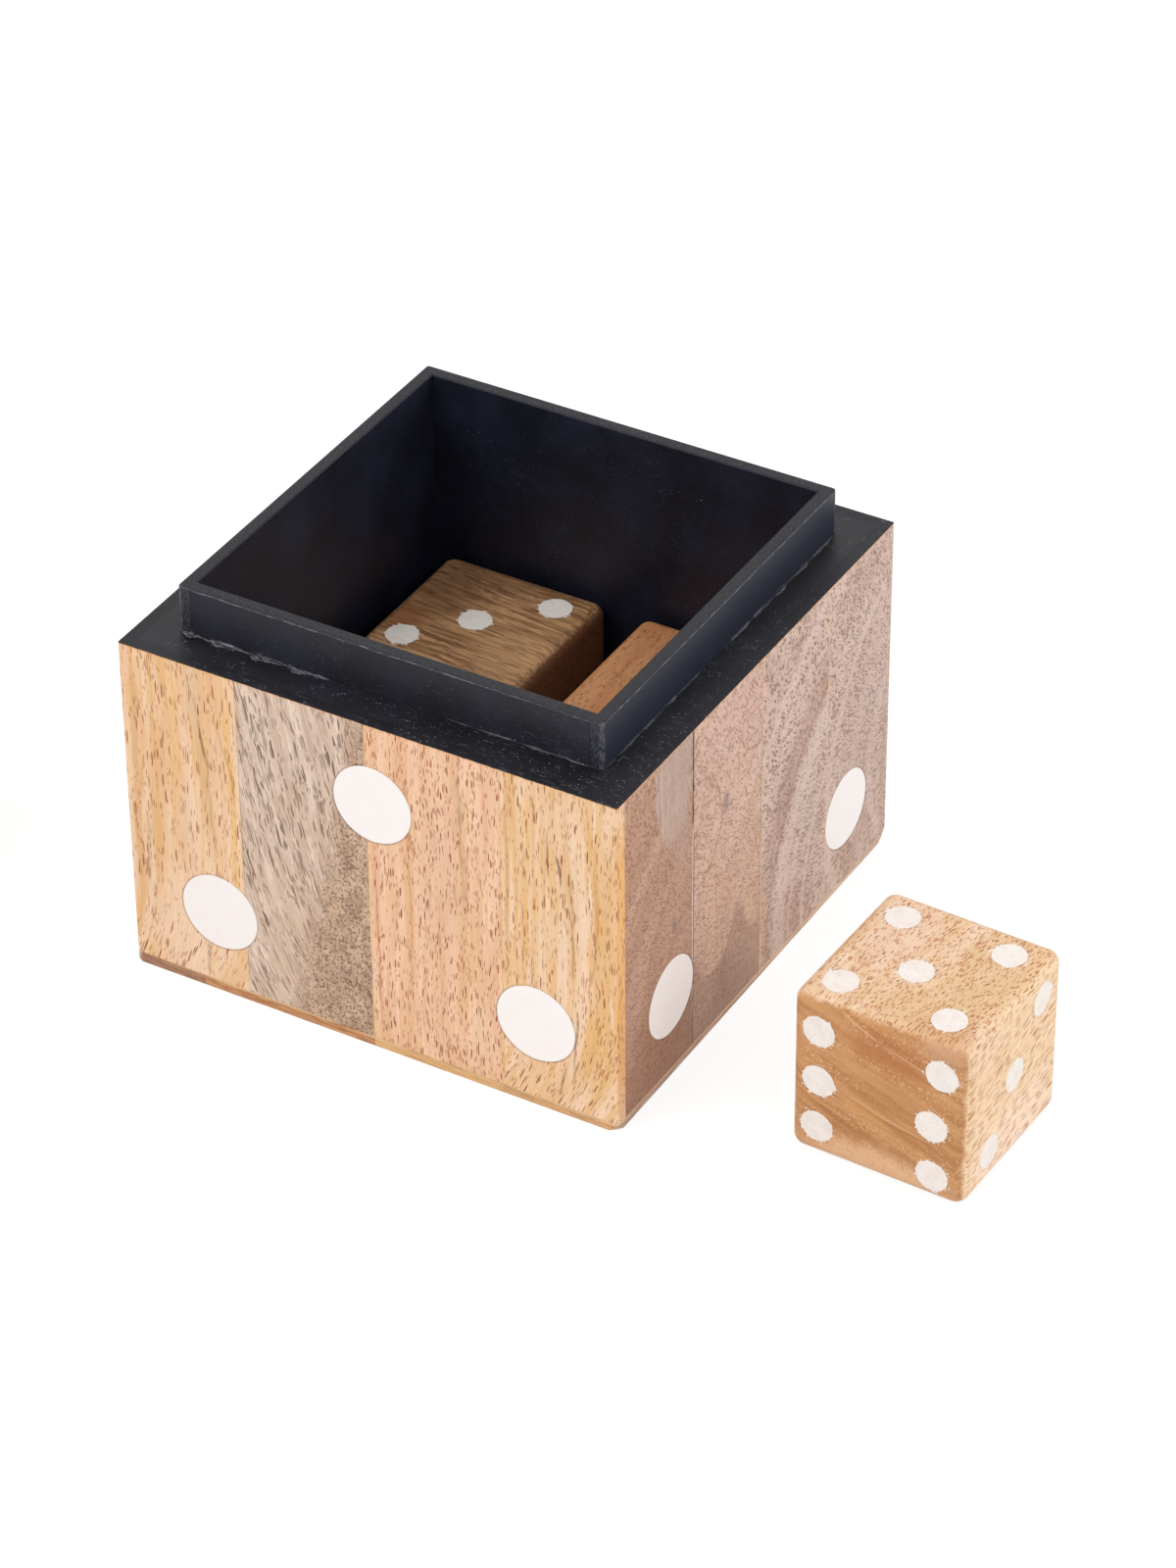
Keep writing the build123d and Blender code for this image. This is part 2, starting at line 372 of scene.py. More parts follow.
@dataclass(frozen=True)
class Streak:
    """A line or band of another tint between two places on a face.

    Its mask is the distance from the straight line between them, bent by slow noise, faded out at both ends.
    """

    start: tuple[float, float]
    end: tuple[float, float]
    width: float
    tint: str
    strength: float = 0.6
    wander: float = 0.5
    torn: float = 0.5

    def mask(self, bench: Bench, u: Signal, v: Signal, where: Signal) -> Signal:
        """Weight of the streak's tint: the distance from its line, faded out.

        Args:
            bench: material being made.
            u: the face's first coordinate, mm.
            v: its second coordinate, mm.
            where: place on the board, mm.

        Returns:
            The weight, 0 to the mark's strength.
        """
        length = math.dist(self.start, self.end)
        cos, sin = ((b - a) / length for a, b in zip(self.start, self.end))
        along = (u - self.start[0]) * cos + (v - self.start[1]) * sin
        off = (u - self.start[0]) * sin - (v - self.start[1]) * cos
        seed = self.start[0] * 0.13 + self.start[1] * 0.07
        bend = (bench.noise(where, 8.0, 2.0, seed=seed) - 0.5) * (self.wander * 3)
        ends = abs(along - length / 2).fade(length / 2, length * 0.28)
        whole = 1 - self.torn * bench.noise(where, (0.7, 0.7, 5.0), 2.0, seed=seed + 3).fade(0.62, 0.40)
        return abs(off + bend).fade(self.width, self.width * 0.2) * ends * whole * self.strength


@dataclass(frozen=True)
class Patch:
    """A soft blot of another tint: an ellipse with a ragged edge."""

    middle: tuple[float, float]
    reach: tuple[float, float]
    tint: str
    strength: float = 0.5
    ragged: float = 0.3
    soft: float = 0.7

    def mask(self, bench: Bench, u: Signal, v: Signal, where: Signal) -> Signal:
        """Weight of the blot's tint: the distance to its middle in units of its reach, faded out.

        Args:
            bench: material being made.
            u: the face's first coordinate, mm.
            v: its second coordinate, mm.
            where: place on the board, mm.

        Returns:
            The weight, 0 to the mark's strength.
        """
        far = bench.join((u - self.middle[0]) / self.reach[0], (v - self.middle[1]) / self.reach[1], 0.0)
        rough = bench.noise(where, (2.2, 2.2, 6.0), 3.0, 0.6, self.middle[0] * 0.11 + self.middle[1] * 0.05) - 0.5
        edge = far.distance((0.0, 0.0, 0.0)) + rough * (self.ragged * 2)
        return edge.fade(1.0, 1.0 - self.soft) * self.strength


@dataclass(frozen=True)
class Arc:
    """A growth ring cut across: a line at one distance from the rings' heart, slightly wavy."""

    heart: tuple[float, float]
    radius: float
    width: float
    tint: str
    strength: float = 0.5

    def mask(self, bench: Bench, u: Signal, v: Signal, where: Signal) -> Signal:
        """Weight of the ring's tint: how far the distance to the heart is from the radius, faded out.

        Args:
            bench: material being made.
            u: the face's first coordinate, mm.
            v: its second coordinate, mm.
            where: place on the board, mm.

        Returns:
            The weight, 0 to the mark's strength.
        """
        wave = (bench.noise(where, 11.0, 2.0, 0.5, self.radius * 0.1) - 0.5) * 3.0
        far = bench.join(u, v, 0.0).distance((*self.heart, 0.0)) + wave
        return abs(far - self.radius).fade(self.width, self.width * 0.3) * self.strength


@dataclass(frozen=True)
class Flame:
    """Wood of another tint below a wavy line: a level raised by a smooth bump at each crest.

    A crest is its place, its height over the level and its half width.
    """

    level: float
    crests: tuple[tuple[float, float, float], ...]
    tint: str
    strength: float = 0.6
    edge: float = 0.8

    def mask(self, bench: Bench, u: Signal, v: Signal, where: Signal) -> Signal:
        """Weight of the tint: how far the place lies under the line, faded in.

        Args:
            bench: material being made.
            u: the face's first coordinate, mm.
            v: its second coordinate, mm.
            where: place on the board, mm.

        Returns:
            The weight, 0 to the mark's strength.
        """
        line = (bench.noise(where, 5.0, 2.0, 0.5, self.level * 0.1) - 0.5) * 5.0 + self.level
        for at, height, half in self.crests:
            line = line + abs(u - at).fade(half, 0.0) * height
        return (line - v).fade(-self.edge, self.edge) * self.strength


Mark = Union[Streak, Patch, Arc, Flame]


def marked(bench: Bench, colour: Signal, marks: tuple[Mark, ...], u: Signal, v: Signal, where: Signal) -> Signal:
    """The colour with each mark's tint laid over it in turn.

    Args:
        bench: material being made.
        colour: the wood so far.
        marks: the marks, first one lowest.
        u: the face's first coordinate, mm.
        v: its second coordinate, mm.
        where: place on the board, mm.

    Returns:
        The colour.
    """
    for mark in marks:
        colour = bench.mix(mark.mask(bench, u, v, where), colour, shade(mark.tint))
    return colour


@dataclass(frozen=True)
class Pores:
    """Open pores cut by the surface, at most one to each cell of a stretched scatter.

    The scatter's cells are `pitch` wide and long, in mm; a pore reaches `reach` cells from its middle at most,
    and `share` of the cells have one.
    """

    pitch: tuple[float, float] = (0.66, 5.0)
    reach: float = 0.52
    share: float = 0.8
    strength: float = 0.9

    def mask(self, bench: Bench, run: Signal, crowd: Signal, seed: float) -> Signal:
        """1 in a pore: where the stretched distance to the nearest point is under that point's own radius.

        Args:
            bench: material being made.
            run: place with the grain along its third axis, mm.
            crowd: what makes pores more frequent, about -0.3 to 0.3.
            seed: shift that gives another pattern.

        Returns:
            The weight of the pores' colour.
        """
        cells = run * (1 / self.pitch[0], 1 / self.pitch[0], 1 / self.pitch[1]) + (seed, seed * 0.7, seed * 1.3)
        cells = cells + (bench.noise(run, (0.9, 0.9, 1.6), 1.0, 0.5, seed) - 0.5) * 0.22
        far = bench.cells(cells, 0)
        lot = bench.cells(cells, 1)
        size = (lot.part("X") - crowd).fade(self.share, self.share * 0.3) * self.reach
        inside = (size - far).fade(0.0, self.reach * 0.24)
        return inside * (0.5 + 0.5 * lot.part("Y")) * self.strength


@dataclass(frozen=True)
class Wood:
    """One kind of wood, sanded and sealed.

    Growth bands are slow noise drawn out along the grain, fibres a fine noise drawn out further, and the pores
    lie over them, crowded in some columns and rare in others.
    """

    pale: str
    deep: str
    flush: str
    pore: str
    band: tuple[float, float] = (3.6, 60.0)
    edge: tuple[float, float] = (0.38, 0.64)
    flushed: float = 0.6
    long: Pores = Pores()
    short: Pores = Pores((0.50, 2.2), 0.50, 0.5, 0.5)
    crowding: float = 0.9
    fibre: float = 0.08
    sway: float = 2.0
    wave: float = 0.5
    roughness: float = 0.52

    def lay(self, bench: Bench, run: Signal, seed: float = 0.0, touch: Callable[[Signal], Signal] = lambda c: c,
            veins: Optional[Signal] = None) -> Coat:
        """Covers a board with this wood.

        Args:
            bench: material being made.
            run: place with the grain along its third axis, mm.
            seed: shift that gives each board its own figure.
            touch: adds the board's own marks to the colour, under the pores.
            veins: place that the pores follow where it is not the same as run.

        Returns:
            The wood's coat.
        """
        drift = (bench.noise(run, (24.0, 24.0, 45.0), 1.0, seed=seed + 11) - 0.5) * (self.sway * 2)
        wave = (bench.noise(run, (2.6, 2.6, 6.0), 1.0, seed=seed + 12) - 0.5) * (self.wave * 2)
        run = run + bench.join(drift, drift, 0.0)
        veins = (run if veins is None else veins) + bench.join(wave, wave, 0.0)
        bands = bench.noise(run, (self.band[0], self.band[0], self.band[1]), 4.0, 0.62, seed)
        warm = bench.noise(run, (1.7, 1.7, 60.0), 2.0, 0.6, seed + 5)
        wood = bench.mix(bands.fade(*self.edge), shade(self.pale), shade(self.deep))
        wood = touch(bench.mix(warm.fade(0.50, 0.62) * self.flushed, wood, shade(self.flush)))
        fibre = bench.noise(veins, (0.18, 0.18, 4.0), 2.0, 0.6, seed + 7)
        lines = bench.noise(veins, (0.55, 0.55, 28.0), 2.0, 0.65, seed + 3)
        wood = wood * (1 + (fibre - 0.5) * (self.fibre * 2.4) + (lines - 0.5) * (self.fibre * 3.2))
        crowd = (bench.noise(veins, (3.0, 3.0, 24.0), 2.0, 0.5, seed + 9) - 0.5) * self.crowding
        long = self.long.mask(bench, veins, crowd, seed + 13)
        short = self.short.mask(bench, veins, crowd, seed + 15)
        mark = long.most(short)
        wood = bench.mix(mark, wood, shade(self.pore))
        return Coat(wood, self.roughness + (fibre - 0.5) * 0.12 + mark * 0.15,
                    0.7 + (fibre - 0.5) * 0.3 - mark * 0.7)


@dataclass(frozen=True)
class BlackPaint:
    """Thin satin black over wood, with brush lines, a fine tooth and strewn dust."""

    body: str = "111119"
    worn: str = "1b1b27"
    dust: str = "8b8b92"
    dust_share: float = 0.42
    roughness: float = 0.46

    def lay(self, bench: Bench, point: Signal, seed: float = 0.0) -> Coat:
        """Covers a surface with the paint.

        Args:
            bench: material being made.
            point: place on it, mm.
            seed: shift that gives each board its own marks.

        Returns:
            The paint's coat.
        """
        cloud = bench.noise(point, 13.0, 3.0, 0.6, seed)
        tooth = bench.noise(point, 0.45, 2.0, 0.6, seed + 2)
        body = bench.mix(cloud.fade(0.35, 0.75), shade(self.body), shade(self.worn))
        body = body * (1 + (tooth - 0.5) * 0.7)
        near = point.distance((HALF, -HALF, SPLIT_Z)).fade(62.0, 20.0)
        crowd = bench.noise(point, 9.0, 2.0, 0.5, seed + 4).fade(0.40, 0.66).most(near * 0.9)
        bare = 0.25 + 0.75 * abs(point.part("Z") - SPLIT_Z).fade(1.5, 0.2)
        fine = bench.specks(point, 0.62, 0.22, self.dust_share, seed + 6) * crowd * bare
        hair = bench.noise(point, (2.6, 0.40, 0.40), 2.0, 0.6, seed + 7).fade(0.60, 0.72) * crowd * bare
        coarse = bench.specks(point, 3.4, 0.26, 0.30, seed + 8) * bare
        body = body * (1 - abs(point.part("Z") - SPLIT_Z).fade(0.12, 0.02) * 0.24)
        body = bench.mix((fine * 0.55).most(hair * 0.25), body, shade(self.dust))
        body = bench.mix(coarse * 0.5, body, shade(self.dust))
        return Coat(body, self.roughness + (cloud - 0.5) * 0.16 + (tooth - 0.5) * 0.12,
                    0.5 + (tooth - 0.5) * 0.6 + fine * 0.4)


@dataclass(frozen=True)
class Resin:
    """Smooth off-white resin, sanded flush and faintly clouded."""

    body: str = "f4eeeb"
    cloud: str = "f3ece9"

    def dress(self, name: str) -> bpy.types.Material:
        """Material of the inlaid discs.

        Args:
            name: material name.

        Returns:
            The material.
        """
        bench = Bench(name)
        point = bench.point()
        cloud = bench.noise(point, 5.0, 2.0, 0.5)
        tooth = bench.noise(point, 0.5, 2.0, 0.6, 3.0)
        colour = bench.mix(cloud.fade(0.35, 0.7), shade(self.body), shade(self.cloud))
        return Coat(colour, 0.30 + tooth * 0.10, tooth).close(bench, DISC_RESIN)


@dataclass(frozen=True)
class Filler:
    """Chalky off-white filler of the dice's pips, slightly grainy."""

    body: str = "efe7e1"
    grain: str = "ddd1c6"

    def lay(self, bench: Bench, point: Signal) -> Coat:
        """Covers a surface with filler.

        Args:
            bench: material being made.
            point: place on it, mm.

        Returns:
            The filler's coat.
        """
        grit = bench.noise(point, 0.55, 3.0, 0.7, 2.0)
        cloud = bench.noise(point, 2.4, 2.0, 0.5, 5.0)
        body = bench.mix((grit * 0.6 + cloud * 0.4).fade(0.40, 0.68) * 0.7, shade(self.body), shade(self.grain))
        return Coat(body, 0.8 + (grit - 0.5) * 0.1, 0.5 + (grit - 0.5) * 0.6)


MANGO_YELLOW = Wood("edcaa8", "e3b588", "e2b06e", "9a5120", long=Pores((0.50, 6.0), 0.37, 0.85, 1.0),
                    short=Pores((0.42, 3.0), 0.34, 0.8, 0.75))
MANGO_GREY = Wood("dfc8b6", "c9ad98", "cdb29b", "674a38", band=(3.0, 26.0), flushed=0.3,
                  long=Pores((0.56, 10.0), 0.46, 1.0, 0.95), short=Pores((0.44, 4.0), 0.42, 0.9, 0.7),
                  fibre=0.20, sway=4.0, wave=1.0)
MANGO_PINK = Wood("efc6a7", "e1b08a", "e4b688", "974a22", long=Pores((0.48, 3.7), 0.39, 0.95, 1.0),
                  short=Pores((0.40, 2.2), 0.36, 0.85, 0.75), fibre=0.10)
MANGO_PALE = Wood("edccac", "e1b585", "e0ad6c", "934e1f", long=Pores((0.49, 5.0), 0.37, 0.9, 1.0),
                  short=Pores((0.40, 2.6), 0.35, 0.8, 0.75))
MANGO_TAN = Wood("e7c6a7", "dcb48c", "dcb688", "985c30", long=Pores((0.46, 2.2), 0.52, 0.75, 0.8))
WALNUT = Wood("d6bbae", "c5a798", "cfb09e", "6f4a3d", band=(8.0, 60.0), edge=(0.30, 0.75), flushed=0.3,
              long=Pores((0.43, 1.4), 0.63, 1.0, 0.75), short=Pores((0.34, 0.9), 0.55, 0.9, 0.4), crowding=0.7,
              fibre=0.10, sway=3.0)
WALNUT_RED = Wood("bd9780", "a98068", "b58a6e", "6a4029", band=(7.0, 60.0), edge=(0.30, 0.75),
                  long=Pores((0.44, 1.4), 0.60, 1.0, 0.6), short=Pores((0.34, 0.9), 0.52, 0.8, 0.3), crowding=0.5,
                  fibre=0.12, sway=3.0)
WALNUT_WARM = Wood("d6b6a6", "c49f8c", "cca68a", "84543f", band=(7.0, 40.0), edge=(0.30, 0.75),
                   long=Pores((0.40, 1.4), 0.60, 1.0, 0.65), short=Pores((0.32, 0.8), 0.52, 0.9, 0.35),
                   crowding=0.6, fibre=0.11, sway=3.0)
BROWN = Wood("c4976c", "825b3d", "a37751", "42271a", band=(0.9, 40.0), edge=(0.42, 0.60),
             long=Pores((0.50, 12.0), 0.52, 0.8, 0.6), short=Pores((0.42, 5.0), 0.50, 0.6, 0.4),
             fibre=0.12, wave=0.6)
ORANGE = Wood("cf9468", "bd7e54", "c98d5c", "82502e", band=(5.0, 30.0),
              long=Pores((0.70, 1.7), 0.50, 0.6, 0.6))
BLACK = BlackPaint()
RESIN = Resin()
FILLER = Filler()


def painted(bench: Bench, point: Signal, wood: Coat, edge: float, upward: bool) -> Coat:
    """Black paint over the rim end of a board, with a slightly ragged margin.

    Args:
        bench: material being made.
        point: place on the board, mm.
        wood: the coat under the paint.
        edge: height of the painted rim, mm.
        upward: whether the rim faces up.

    Returns:
        The two coats together.
    """
    ragged = (bench.noise(point, (1.3, 1.3, 4.0), 2.0, 0.6, 21.0) - 0.5) * 0.30
    above = (point.part("Z") - edge if upward else edge - point.part("Z")) + ragged
    bare = wood.tinted(bench, above.fade(-0.62, -0.25) * 0.5, "dda263")
    return BLACK.lay(bench, point, 1.0).over(bench, above.fade(-0.18, -0.06), bare)


class Side(Enum):
    """A wall of the cube, by the axis across its slats, its outward axis and the way it faces."""

    FRONT = ("X", "Y", -1)
    BACK = ("X", "Y", 1)
    LEFT = ("Y", "X", -1)
    RIGHT = ("Y", "X", 1)

    @property
    def across(self) -> str:
        """Axis across the slats."""
        return self.value[0]

    @property
    def sense(self) -> int:
        """1 where the numbering of the slats, left to right from outside, follows the axis."""
        return {"FRONT": 1, "BACK": -1, "LEFT": -1, "RIGHT": 1}[self.name]

    def spot(self, u: float, v: float) -> tuple[float, float, float]:
        """Place on the outer face of the wall.

        Args:
            u: mm to the right of the middle, seen from outside.
            v: mm above the foot.

        Returns:
            The place, mm.
        """
        along = u * self.sense
        out = HALF * self.value[2]
        return (along, out, v) if self.across == "X" else (out, along, v)


@dataclass(frozen=True)
class Seam:
    """Glue line between two slats: place, half width, colour, strength and the heights it runs between."""

    at: float
    half: float
    tint: str
    strength: float = 0.7
    span: tuple[float, float] = (-9.0, 99.0)

    def over(self, bench: Bench, coat: Coat, across: Signal, point: Signal) -> Coat:
        """Draws the line over a coat, broken here and there.

        Args:
            bench: material being made.
            coat: the coat under the line.
            across: coordinate across the slats, mm.
            point: place on the wall, mm.

        Returns:
            The coat with the line.
        """
        level = point.part("Z")
        wavy = (bench.noise(point, (1.5, 1.5, 5.0), 2.0, 0.6, self.at) - 0.5) * (self.half * 1.2)
        broken = bench.noise(point, (3.0, 3.0, 9.0), 2.0, 0.5, self.at + 2).fade(0.30, 0.5)
        mask = abs(across - self.at + wavy).fade(self.half, self.half * 0.4) * broken * self.strength
        mask = mask * level.fade(self.span[0], self.span[0] + 4) * level.fade(self.span[1], self.span[1] - 4)
        return coat.tinted(bench, mask, self.tint, mask * 0.6)


@dataclass(frozen=True)
class Dotted:
    """End grain over part of a slat: fine dots beyond a slanting line through `at` at height `level`."""

    at: float
    level: float
    slope: float
    pale: str
    deep: str
    dot: str

    def over(self, bench: Bench, coat: Coat, u: Signal, v: Signal, point: Signal, seed: float) -> Coat:
        """Lays the dotted wood over a coat, fading in across 8 mm.

        Args:
            bench: material being made.
            coat: the coat of the rest of the slat.
            u: the face's first coordinate, mm.
            v: its second coordinate, mm.
            point: place on the wall, mm.
            seed: shift of its dots.

        Returns:
            The two coats together.
        """
        ragged = (bench.noise(point, (3.0, 3.0, 7.0), 2.0, 0.6, seed + 30) - 0.5) * 8.0
        beyond = (u - self.at + (self.level - v) * self.slope + ragged).fade(-4.0, 4.0)
        cells = point * (1 / 0.50, 1 / 0.50, 1 / 0.62) + (seed, seed, seed)
        cells = cells + (bench.noise(point, 0.5, 1.0, 0.5, seed) - 0.5) * 0.5
        near = bench.cells(cells, 0)
        cloud = bench.noise(point, (5.0, 5.0, 9.0), 3.0, 0.6, seed + 33).fade(0.35, 0.68)
        dot = near.fade(0.72, 0.34) * bench.cells(cells, 1).part("X").fade(0.05, 0.75)
        grit = bench.noise(point, 0.8, 3.0, 0.8, seed + 35) - 0.5
        base = bench.mix(cloud, shade(self.pale), shade(self.deep)) * (1.08 + grit * 1.3)
        base = bench.mix(dot * 0.85, base, shade(self.dot))
        return coat.tinted(bench, beyond * 0.9, base, dot * beyond * 0.2)


@dataclass(frozen=True)
class Slat:
    """One slat of a wall: its wood, its own figure and the marks on it.

    `lean` slants the grain, mm aside for each mm up; `curl` bends it below a level, by so many mm for each mm
    squared; `heart` is the middle of the growth rings of a slat whose face is cut across them.
    """

    wood: Wood
    seed: float
    lean: float = 0.0
    curl: tuple[float, float] = (0.0, 0.0)
    heart: Optional[tuple[float, float]] = None
    marks: tuple[Mark, ...] = ()
    dotted: Optional[Dotted] = None
    veils: tuple[Mark, ...] = ()

    def lay(self, bench: Bench, point: Signal, side: Side) -> Coat:
        """The slat's coat: its grain straight, slanting or in rings, with marks under the pores and veils over.

        Args:
            bench: material being made.
            point: place on the wall, mm.
            side: the wall.

        Returns:
            The coat.
        """
        u, v = point.part(side.across), point.part("Z")

        def touch(colour: Signal) -> Signal:
            """Adds the slat's marks."""
            return marked(bench, colour, self.marks, u, v, point)

        if self.heart:
            depth = point.part(side.value[1])
            across, rise = u - self.heart[0], v - self.heart[1]
            far = bench.join(across, rise, 0.0).distance((0.0, 0.0, 0.0))
            around = bench.node("ShaderNodeMath", {"operation": "ARCTAN2"}, {0: rise, 1: across}) * RING_SPREAD
            coat = self.wood.lay(bench, bench.join(far, depth, around), self.seed, touch,
                                 bench.join(around, depth, far))
            return Coat(marked(bench, coat.colour, self.veils, u, v, point), coat.roughness, coat.height)
        below = (self.curl[0] - v).most(0.0)
        aside = below * below * self.curl[1] - v * self.lean
        run = Grain.ALONG_Z.place(bench, point)
        run = run + (bench.join(aside, 0.0, 0.0) if side.across == "X" else bench.join(0.0, aside, 0.0))
        coat = self.wood.lay(bench, run, self.seed, touch)
        return self.dotted.over(bench, coat, u, v, point, self.seed) if self.dotted else coat


@dataclass(frozen=True)
class BoxWall:
    """A wall of the box: four upright slats with discs let in flush."""

    side: Side
    slats: tuple[Slat, Slat, Slat, Slat]
    discs: tuple[tuple[float, float], ...]
    seams: tuple[Seam, ...]

    def dress(self) -> None:
        """Gives each slat its wood, glue lines, disc outlines and painted top, and the discs their resin."""
        name = self.side.name.lower()
        for number, slat in enumerate(self.slats, 1):
            assign(f"box_slat_{name}_{number}", self.slat_material(f"slat_{name}_{number}", slat))
        assign(f"box_discs_{name}", RESIN.dress(f"disc_{name}"))

    def slat_material(self, name: str, slat: Slat) -> bpy.types.Material:
        """Material of one slat.

        Args:
            name: material name.
            slat: the slat's wood and marks.

        Returns:
            The material.
        """
        bench = Bench(name)
        point = bench.point()
        coat = slat.lay(bench, point, self.side)
        for seam in self.seams:
            coat = seam.over(bench, coat, point.part(self.side.across), point)
        for u, v in self.discs:
            near = point.distance(self.side.spot(u, v))
            rim = near.fade(DISC_R + 0.35, DISC_R + 0.05) * 0.4
            coat = coat.tinted(bench, rim, "7a5138", rim * 0.4)
        return painted(bench, point, coat, SPLIT_Z, upward=True).close(bench, SEALED_WOOD)


@dataclass(frozen=True)
class BoxBase:
    """The base: four strips of different woods, whose ends make the foot of the front wall.

    The strips' top is a plane, whose height is `seat`: a constant, and a rise for each mm of X and of Y.
    """

    woods: tuple[Wood, ...] = (BROWN, ORANGE, MANGO_TAN, MANGO_TAN)
    tints: tuple[tuple[str, str], ...] = (("b08365", "8a5f47"), ("cf9a6a", "a36a42"), ("dfb480", "c89a66"),
                                          ("d6a774", "b98c62"))
    seeds: tuple[float, ...] = (3.0, 8.0, 14.0, 27.0)
    seat: tuple[float, float, float] = (1.9, -0.00375, -0.01125)

    def dress(self) -> None:
        """Gives each strip its wood, blotched ends, and a pale glue line where the slats stand."""
        for number, (wood, tints, seed) in enumerate(zip(self.woods, self.tints, self.seeds), 1):
            assign(f"box_base_strip_{number}", self.strip(f"base_strip_{number}", wood, tints, seed))

    def strip(self, name: str, wood: Wood, tints: tuple[str, str], seed: float) -> bpy.types.Material:
        """Material of one strip.

        Args:
            name: material name.
            wood: wood of its underside.
            tints: the two colours of its ends.
            seed: shift of its figure.

        Returns:
            The material.
        """
        bench = Bench(name)
        point = bench.point()
        coat = wood.lay(bench, Grain.ALONG_Y.place(bench, point), seed)
        end = abs(point.part("Y")).fade(HALF - 1.2, HALF - 0.6)
        slope = bench.join(point.part("X") * 0.22, point.part("Y"),
                           point.part("Z") * 1.6 + point.part("X") * 0.05)
        blotch = bench.noise(slope, (1.1, 3.0, 0.7), 3.0, 0.65, seed + 41).fade(0.36, 0.66)
        ends = bench.mix(blotch, shade(tints[0]), shade(tints[1]))
        grit = bench.noise(point, 0.35, 2.0, 0.6, seed + 43) - 0.5
        coat = coat.tinted(bench, end, ends * (1 + grit * 0.35))
        side = (abs(point.part("X")) - HALF).fade(-1.0, -0.6)
        lines = bench.noise(point, (1.0, 9.0, 0.45), 3.0, 0.65, seed + 45).fade(0.40, 0.62)
        coat = coat.tinted(bench, side * 0.9, bench.mix(lines, shade("cdac97"), shade("a17d68")))
        level, across, back = self.seat
        top = point.part("X") * across + point.part("Y") * back + level
        below = top - point.part("Z") + (bench.noise(point, 2.0, 2.0) - 0.5) * 0.3
        run = bench.noise(point, 14.0, 1.0, 0.5, 46.0).fade(0.40, 0.55)
        glue = below.fade(0.50, 0.28) * run.most(side)
        coat = coat.tinted(bench, glue * 0.8, "e9c894")
        gap = below.fade(0.14, 0.04) * 0.5
        return coat.tinted(bench, gap, "6f5341").close(bench, SEALED_WOOD)


